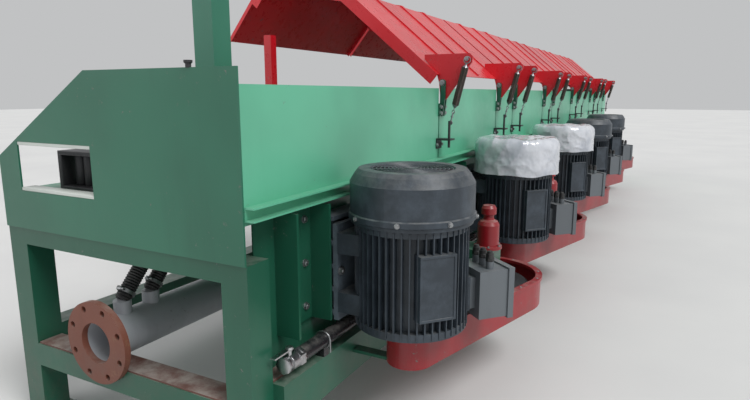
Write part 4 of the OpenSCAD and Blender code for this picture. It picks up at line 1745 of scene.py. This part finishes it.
@dataclass
class DieTrim:
    """Lids, bushes, rollers and knobs of the die boxes."""

    lid_t: float = 0.010
    over: float = 0.006
    bush: float = 0.020
    bush_rim: float = 0.009
    bush_len: float = 0.014
    wire_up: float = 0.085
    roller: float = 0.018
    roller_rim: float = 0.006
    roller_height: float = 0.060
    roller_up: float = 0.082
    roller_off: tuple[float, float] = (0.045, -0.024)
    pin: float = 0.006
    pin_height: float = 0.115
    nut: float = 0.012
    nut_t: float = 0.009
    knob: Knob = Knob(0.008, 0.007, 0.018, 20, neck=0.006, flare=2.1, head=0.010, crown=0.002)

    def lid(self, low: Vector, high: Vector) -> Piece:
        """Makes a lid with a raised panel over a box between two corners.

        Args:
            low: The box's corner with the least X, Y and Z.
            high: The corner opposite.

        Returns:
            The lid.
        """
        lid = Bench.block("lid", (low.x - self.over, low.y - self.over, high.z - 0.001),
                          (high.x + self.over, high.y + self.over, high.z + self.lid_t))
        Bench.dish(lid, Way.UP, rim=0.024, move=(0, 0, 0.004))
        Bench.soften(lid, width=0.0025)
        return lid

    def build(self) -> None:
        """Makes the trim of each die box."""
        low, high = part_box("die_boxes")
        width = high.x - low.x - (Row.count - 1) * Row.block
        low, high = Vector((high.x - width, low.y, low.z)), Vector(high)
        middle_y = (low.y + high.y) / 2
        places = [Matrix.Translation((-k * Row.block, 0, 0)) for k in range(Row.count)]
        bushes = []
        for x in (low.x - self.bush_len / 2, high.x + self.bush_len / 2):
            middle = (x, middle_y, low.z + self.wire_up)
            bush = Bench.cylinder("bush", self.bush, self.bush_len, middle, axis=Axis.X, sides=28)
            Bench.dish(bush, Way.UP_AND_DOWN, self.bush_rim, size=(0.8, 0.8, 1))
            bushes.append(bush)
        x, y = high.x + self.roller_off[0], middle_y + self.roller_off[1]
        middle = (x, y, low.z + self.roller_up)
        roller = Bench.cylinder("roller", self.roller, self.roller_height, middle, sides=28)
        with Bench.editing(roller):
            Bench.pick(roller, Way.UP_AND_DOWN)
            bpy.ops.mesh.inset(thickness=self.roller_rim)
            Bench.extrude((0, 0, 0), (0.6, 0.6, 1.12))
        pin = Bench.cylinder("pin", self.pin, self.pin_height, (x, y, low.z + self.pin_height / 2), sides=14)
        nut = Bench.cylinder("nut", self.nut, self.nut_t, (x, y, low.z + self.nut_t / 2), sides=6)
        Bench.soften(nut, width=0.001)
        middle = ((low.x + high.x) / 2, middle_y, high.z + self.lid_t + self.knob.height / 2)
        knob = self.knob.make("knob", middle)
        fittings = Bench.join("fittings", [*bushes, roller, pin, nut])
        made = (("die_lids", self.lid(low, high), Finish.PLATE, "plate_paint"),
                ("die_knobs", knob, Finish.HOOD, "hood_red"),
                ("die_fittings", fittings, Finish.BOLT, "hook_steel"))
        for name, master, finish, slot in made:
            piece = Bench.repeat(name, master, places)
            Paints.dress(piece, finish, slot, smooth=0.5)


@dataclass
class EntryGuide:
    """The liners of the wire windows, the roller cage behind the near one and the knob above it."""

    window_y: tuple[float, float] = (-0.986, -0.606)
    window_z: tuple[float, float] = (0.870, 1.040)
    liner: float = 0.012
    deep: float = 0.050
    far_deep: float = 0.011
    stand_in: float = 0.0005
    cage_back: float = 0.17
    cage_half: float = 0.05
    cage_y: tuple[float, float] = (-0.955, -0.640)
    cage_z: tuple[float, float] = (0.860, 1.000)
    cheek_half: float = 0.010
    rollers: int = 5
    roller_y: float = -0.895
    roller_step: float = 0.049
    roller_radius: float = 0.022
    base_t: float = 0.014
    top_t: float = 0.015
    lap: float = 0.002
    roller_height: float = 0.108
    knob_y: float = -0.17
    knob_in: float = 0.003
    knob_up: float = 0.004
    knob: Knob = Knob(0.008, 0.008, 0.010, 18, neck=0.004, flare=1.5, head=0.006)

    def liners(self) -> Piece:
        """Makes the strips at the head and foot of both windows.

        Returns:
            The joined strips.
        """
        strips = []
        foot, head = self.window_z
        near, far = Row.near_x - self.stand_in, Row.far_x + self.stand_in
        for x0, x1 in ((Row.near_x - self.deep, near), (far, Row.far_x + self.far_deep)):
            for z in (foot, head - self.liner):
                y0, y1 = self.window_y
                strip = Bench.block("strip", (x0, y0, z), (x1, y1, z + self.liner))
                Bench.dish(strip, Way.ALONG, rim=0.003)
                Bench.soften(strip, width=0.0025)
                strips.append(strip)
        return Bench.join("window_liners", strips)

    def cage(self) -> Piece:
        """Makes the black cage with its upright rollers, which stands on the deck.

        Returns:
            The cage.
        """
        x = Row.near_x - self.cage_back
        x0, x1 = x - self.cage_half, x + self.cage_half
        y0, y1 = self.cage_y
        foot, head = self.cage_z
        pieces = [Bench.block("base", (x0, y0, foot), (x1, y1, foot + self.base_t)),
                  Bench.block("top", (x0, y0, head - self.top_t), (x1, y1, head))]
        for y in (y0 + self.cheek_half, y1 - self.cheek_half):
            pieces.append(Bench.block("cheek", (x0, y - self.cheek_half, foot + self.base_t - self.lap),
                                      (x1, y + self.cheek_half, head - self.top_t + self.lap)))
        for piece in pieces:
            Bench.dish(piece, Way.ALONG, rim=0.003)
            Bench.soften(piece, width=0.002)
        for k in range(self.rollers):
            middle = (x, self.roller_y + self.roller_step * k, (foot + head) / 2)
            roller = Bench.cylinder("roller", self.roller_radius, self.roller_height, middle, sides=28)
            Bench.dish(roller, Way.UP_AND_DOWN, rim=0.006)
            Bench.soften(roller, width=0.002)
            pieces.append(roller)
        return Bench.join("entry_cage", pieces)

    def build(self) -> None:
        """Makes the liners, the cage and the small knob on the near end plate's top edge."""
        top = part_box("end_plate_near")[1]
        place = (top.x - self.knob_in, self.knob_y, top.z + self.knob_up)
        for piece, finish, slot in ((self.liners(), Finish.LINER, "film"),
                                    (self.cage(), Finish.DARK, "dark_steel"),
                                    (self.knob.make("end_plate_knob", place), Finish.DARK, "dark_steel")):
            Paints.dress(piece, finish, slot, smooth=0.5)


@dataclass
class PipeTrim:
    """Clips and end fittings of the water feed pipe."""

    pipe_y: float = 0.027
    pipe_z: float = 0.400
    radius: float = 0.025
    first_clip: float = 0.335
    valve_u: float = 0.150
    unions: tuple[tuple[float, float], ...] = ((-0.046, 0.0300), (0.026, 0.0270))
    barrel: float = 0.0265
    barrel_back: float = 0.010
    nut_up: float = 0.046
    lip: float = 0.019
    lip_ahead: float = 0.0235
    lip_wire: float = 0.0025
    union_len: float = 0.016
    barrel_len: float = 0.034
    nut: float = 0.0125
    nut_t: float = 0.009
    clip_wire: float = 0.0030
    clip_leg: float = 0.040

    def clips(self) -> Piece:
        """Makes a U clip over the pipe at each support.

        Returns:
            The joined clips.
        """
        wire, around = self.clip_wire, self.radius + self.clip_wire
        master = Bench.ring("clip", around, wire, axis=Axis.X, around=32)
        for y in (-around, around):
            leg = Bench.cylinder("leg", wire, self.clip_leg, (0, y, -self.clip_leg / 2), sides=10)
            master = Bench.join("clip", [master, leg])
        return Bench.repeat("pipe_clips", master, [
            Matrix.Translation((Row.near_x - self.first_clip - k * Row.block, self.pipe_y, self.pipe_z))
            for k in range(Row.count + 1)])

    def valve(self) -> Piece:
        """Makes the ball valve's fittings: two unions, the barrel, a gland nut and the outlet's lip.

        Returns:
            The joined fittings.
        """
        x = Row.near_x - self.valve_u
        pieces = []
        for offset, radius in self.unions:
            middle = (x + offset, self.pipe_y, self.pipe_z)
            union = Bench.cylinder("union", radius, self.union_len, middle, axis=Axis.X, sides=8)
            Bench.soften(union, width=0.0018)
            pieces.append(union)
        middle = (x - self.barrel_back, self.pipe_y, self.pipe_z)
        barrel = Bench.cylinder("barrel", self.barrel, self.barrel_len, middle, axis=Axis.X, sides=36)
        Bench.dish(barrel, Way.UP_AND_DOWN, rim=0.004, size=(0.9, 0.9, 1))
        middle = (x, self.pipe_y, self.pipe_z + self.nut_up)
        nut = Bench.cylinder("nut", self.nut, self.nut_t, middle, sides=6)
        Bench.soften(nut, width=0.001)
        middle = (x + self.lip_ahead, self.pipe_y, self.pipe_z)
        lip = Bench.ring("lip", self.lip, self.lip_wire, middle, axis=Axis.X, around=32)
        return Bench.join("valve_fittings", [*pieces, barrel, nut, lip])

    def build(self) -> None:
        """Makes the clips and the valve's fittings."""
        for piece, finish, slot in ((self.clips(), Finish.BOLT, "hook_steel"),
                                    (self.valve(), Finish.VALVE, "valve_metal")):
            Paints.dress(piece, finish, slot, smooth=0.5)


@dataclass
class BoltPlan:
    """Where the frame's bolts sit, read from the boxes of what they hold.

    Their heads are turned by their places, so that they don't all stand alike. The bolts of the
    column's and the post's feet are column_bolt times their inset.
    """

    fasteners: Fasteners
    foot_bolt: float = 0.009
    foot_inset: float = 0.070
    foot_half: float = 0.059
    foot_t: float = 0.012
    hinge_bolt: float = 0.010
    hinge_face: float = 0.0078
    hinge_half: float = 0.026
    hinge_rises: tuple[float, float] = (0.014, 0.043)
    pin_nut: float = 0.013
    pin_half: float = 0.0149
    spring_bolt: float = 0.008
    spring_face: float = 0.0058
    spring_plate_z: float = 0.962
    spring_bolts: tuple[float, float] = (-0.002, 0.056)
    hood_nut: float = 0.010
    hood_nut_out: float = 0.0348
    panel_screw: float = 0.008
    panel_screws: int = 6
    panel_over: float = 0.05
    panel_in: float = 0.035
    seat_bolt: float = 0.012
    seat_bolts: int = 12
    seat_circle: float = 0.325
    post_bolt: float = 0.012
    post_face: float = 0.0098
    post_in: float = 0.095
    post_half: float = 0.05
    post_rises: tuple[float, float] = (0.05, 0.20)
    post_drop: float = 0.05
    casting_bolt: float = 0.014
    casting_face: float = 0.0518
    casting_half: float = 0.122
    casting_z: tuple[float, ...] = (0.50, 0.62, 0.74)
    guard_screw: float = 0.006
    guard_len: float = 0.730
    guard_turn: float = 3.5
    guard_radii: tuple[float, float] = (0.088, 0.240)
    guard_top: float = 0.420
    guard_round: int = 8
    guard_sides: tuple[float, ...] = (0.14, 0.38, 0.62, 0.86)
    guard_ends: tuple[float, float] = (150.0, 210.0)
    rim_in: float = 0.014
    collar_bolt: float = 0.007
    collar_bolts: int = 6
    collar_turn: float = 20.0
    collar_circle: float = 0.055
    collar_z: float = 0.538
    column_feet: tuple[tuple[str, float, float], ...] = (("green_column", 0.012, 0.014),
                                                         ("red_post", 0.010, 0.010))
    column_bolt: float = 0.8

    def feet(self) -> None:
        """Notes four anchor bolts on each foot plate."""
        low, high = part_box("legs")
        inset, half = self.foot_inset, self.foot_half
        ends = [high.x - inset, *[hinge.x + Row.block / 2 for hinge in Row.hinges], low.x + inset]
        for x in ends:
            for y in (high.y - inset, low.y + inset):
                for a in (-half, half):
                    for b in (-half, half):
                        point = (x + a, y + b, self.foot_t - SINK)
                        self.fasteners.add(self.foot_bolt, point, spin=x * 7 + a * 9)

    def hinges(self) -> None:
        """Notes the bolts of the hinge brackets and the nuts on the hinge and spring pins."""
        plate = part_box("hinge_brackets")[0]
        for index, hinge in enumerate(Row.hinges, start=1):
            for x in Row.lugs(index - 1):
                for a in (-self.hinge_half, self.hinge_half):
                    for rise in self.hinge_rises:
                        point = (x + a, self.hinge_face, plate.z + rise)
                        self.fasteners.add(self.hinge_bolt, point, TO_MOTOR_SIDE, spin=a * 30)
                for s in (-1, 1):
                    point = (x + s * self.pin_half, hinge.y, hinge.z)
                    self.fasteners.add(self.pin_nut, point, (s, 0, 0), spin=0.2)
                for a in self.spring_bolts:
                    point = (x + a, self.spring_face, self.spring_plate_z)
                    self.fasteners.add(self.spring_bolt, point, TO_MOTOR_SIDE, spin=0.4)
                point = self.hood_pin(x)
                self.fasteners.add(self.hood_nut, point, (1, 0, 0), spin=0.1, body=f"hood_{index}")

    def hood_pin(self, x: float) -> Vector:
        """Finds the outer end of the spring pin on a lug.

        Args:
            x: The middle of the lug.

        Returns:
            The point.
        """
        low = Vector(joint("spring_1_swing")["pos_m"])
        along = Vector(joint("spring_1_stretch")["axis"])
        end = low + along * CounterSprings.pin_distance
        return Vector((x + self.hood_nut_out, end.y, end.z))

    def panels(self) -> None:
        """Notes screws along the sheets below the deck on the operator side."""
        low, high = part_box("front_panels")
        cuts = [*[hinge.x + Row.block / 2 for hinge in Row.hinges], low.x]
        for left, right in zip(cuts, cuts[1:]):
            span = right - left + 2 * self.panel_over
            for k in range(self.panel_screws):
                x = left - self.panel_over + span * k / (self.panel_screws - 1)
                for z in (high.z - self.panel_in, low.z + self.panel_in):
                    point = (x, low.y + SINK, z)
                    self.fasteners.add(self.panel_screw, point, TO_OPERATOR_SIDE, head=Head.ROUND)

    def deck(self) -> None:
        """Notes a ring of bolts round each drum seat."""
        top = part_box("deck")[1].z
        for hinge in Row.hinges:
            for k in range(self.seat_bolts):
                angle = math.radians(360 * (k + 0.5) / self.seat_bolts)
                point = round_about(hinge.x, Row.drum_y, self.seat_circle, angle, top - SINK)
                self.fasteners.add(self.seat_bolt, point, spin=angle)

    def posts(self) -> None:
        """Notes bolts on the channel posts and on the motors' castings."""
        low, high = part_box("channel_posts")
        rows = [*[low.z + rise for rise in self.post_rises], high.z - self.post_drop]
        for k in range(Row.count + 1):
            x = high.x - self.post_in - k * Row.block
            for z in rows:
                for a in (-self.post_half, self.post_half):
                    point = (x + a, low.y + self.post_face, z)
                    self.fasteners.add(self.post_bolt, point, TO_MOTOR_SIDE, z + a)
        for x in Row.motors:
            for a in (-self.casting_half, self.casting_half):
                for z in self.casting_z:
                    self.fasteners.add(self.casting_bolt, (x + a, self.casting_face, z), TO_MOTOR_SIDE, z)

    def guards(self) -> None:
        """Notes screws along the rim of each belt guard."""
        small, large = (radius - self.rim_in for radius in self.guard_radii)
        lean = math.asin((large - small) / self.guard_len)
        shares = [(k + 0.5) / self.guard_round for k in range(self.guard_round)]
        spots = [(self.guard_len + large * math.cos(a), large * math.sin(a))
                 for a in (-math.pi / 2 - lean + (math.pi + 2 * lean) * share for share in shares)]
        for s in (-1, 1):
            side = s * (math.pi / 2 + lean)
            start = Vector((self.guard_len + large * math.cos(side), large * math.sin(side)))
            end = Vector((small * math.cos(side), small * math.sin(side)))
            spots += [tuple(start.lerp(end, share)) for share in self.guard_sides]
        spots += [(small * math.cos(a), small * math.sin(a)) for a in map(math.radians, self.guard_ends)]
        turn = math.pi - math.radians(self.guard_turn)
        for x in Row.motors:
            for a, b in spots:
                place = Matrix.Rotation(turn, 2) @ Vector((a, b))
                point = (x + place.x, Row.motor_y + place.y, self.guard_top - SINK)
                self.fasteners.add(self.guard_screw, point, head=Head.ROUND)

    def housings(self) -> None:
        """Notes the bolts on the collars of the input shaft housings."""
        low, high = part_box("shaft_housings")
        radius = (high.y - low.y) / 2
        for k in range(Row.count):
            for step in range(self.collar_bolts):
                angle = math.radians(self.collar_turn + 360 * step / self.collar_bolts)
                point = round_about(high.x - radius - k * Row.block, (high.y + low.y) / 2, self.collar_circle,
                                    angle, self.collar_z - SINK)
                self.fasteners.add(self.collar_bolt, point, spin=angle)

    def column(self) -> None:
        """Notes the bolts of the column's and the guide post's foot plates."""
        for name, foot, inset in self.column_feet:
            low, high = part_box(name)
            for x in (low.x + inset, high.x - inset):
                for y in (low.y + inset, high.y - inset):
                    point = (x, y, low.z + foot - SINK)
                    self.fasteners.add(inset * self.column_bolt, point, spin=x * 5)

    def build(self) -> None:
        """Notes every bolt of the plan."""
        self.guards()
        self.housings()
        self.column()
        self.feet()
        self.hinges()
        self.panels()
        self.deck()
        self.posts()


@dataclass(frozen=True)
class Lamp:
    """A soft distant lamp, with its power, its turn about X, Y and Z and its spread, in degrees."""

    name: str
    power: float
    turn: Point
    spread: float


@dataclass
class Studio:
    """The floor, the light and the camera."""

    eye: Point = (5.2055, 1.010, 1.20)
    turn: float = 27.9
    tilt: float = -10.55
    lens: float = 27.4
    sight: float = 200.0
    floor_size: float = 90.0
    floor_z: float = -0.001
    sky: Colour = (0.86, 0.87, 0.88)
    sky_power: float = 0.62
    lights: tuple[Lamp, ...] = (Lamp("key", 2.0, (38.0, 12.0, 150.0), 28.0),
                                Lamp("fill", 0.5, (62.0, 0.0, 40.0), 50.0))

    def floor(self) -> None:
        """Lays a wide pale floor."""
        Bench.deselect()
        bpy.ops.mesh.primitive_plane_add(size=self.floor_size, location=(0.0, 0.0, self.floor_z))
        ground = bpy.context.object
        ground.name = "studio_floor"
        Paints.put(ground, Finish.FLOOR)

    def world(self) -> None:
        """Sets a soft even sky with a pale background."""
        world = bpy.data.worlds.new("studio")
        bpy.context.scene.world = world
        world.use_nodes = True
        back = world.node_tree.nodes["Background"]
        back.inputs["Color"].default_value = (*self.sky, 1.0)
        back.inputs["Strength"].default_value = self.sky_power

    def lamps(self) -> None:
        """Hangs a soft key lamp and a fill."""
        for light in self.lights:
            lamp = bpy.data.lights.new(light.name, "SUN")
            lamp.energy = light.power
            lamp.angle = math.radians(light.spread)
            item = bpy.data.objects.new(light.name, lamp)
            item.rotation_euler = tuple(math.radians(angle) for angle in light.turn)
            bpy.context.collection.objects.link(item)

    def camera(self) -> None:
        """Sets the camera at the photograph's place."""
        data = bpy.data.cameras.new("camera")
        data.lens = self.lens
        data.clip_end = self.sight
        item = bpy.data.objects.new("camera", data)
        item.location = self.eye
        turn, tilt = math.radians(self.turn), math.radians(self.tilt)
        level = math.cos(tilt)
        look = Vector((-math.cos(turn) * level, -math.sin(turn) * level, math.sin(tilt)))
        item.rotation_euler = look.to_track_quat("-Z", "Y").to_euler()
        bpy.context.collection.objects.link(item)
        bpy.context.scene.camera = item

    def build(self) -> None:
        """Sets up the whole studio."""
        bpy.context.scene.view_settings.view_transform = "Standard"
        self.floor()
        self.world()
        self.lamps()
        self.camera()


def main() -> None:
    """Builds the looks in order."""
    logging.basicConfig(level=logging.INFO, format="%(message)s")
    FrameDresser().dress()
    fasteners = Fasteners()
    CounterSprings().build()
    CowlTops().build()
    MotorTrim().build(fasteners)
    TerminalTrim().build(fasteners)
    CowlFilms().build()
    Hoses().build()
    HoodTrim().build()
    DrumTrim().build(fasteners)
    DieTrim().build()
    EntryGuide().build()
    PipeTrim().build()
    BoltPlan(fasteners).build()
    fasteners.build()
    Studio().build()


if __name__ == "__main__":
    main()
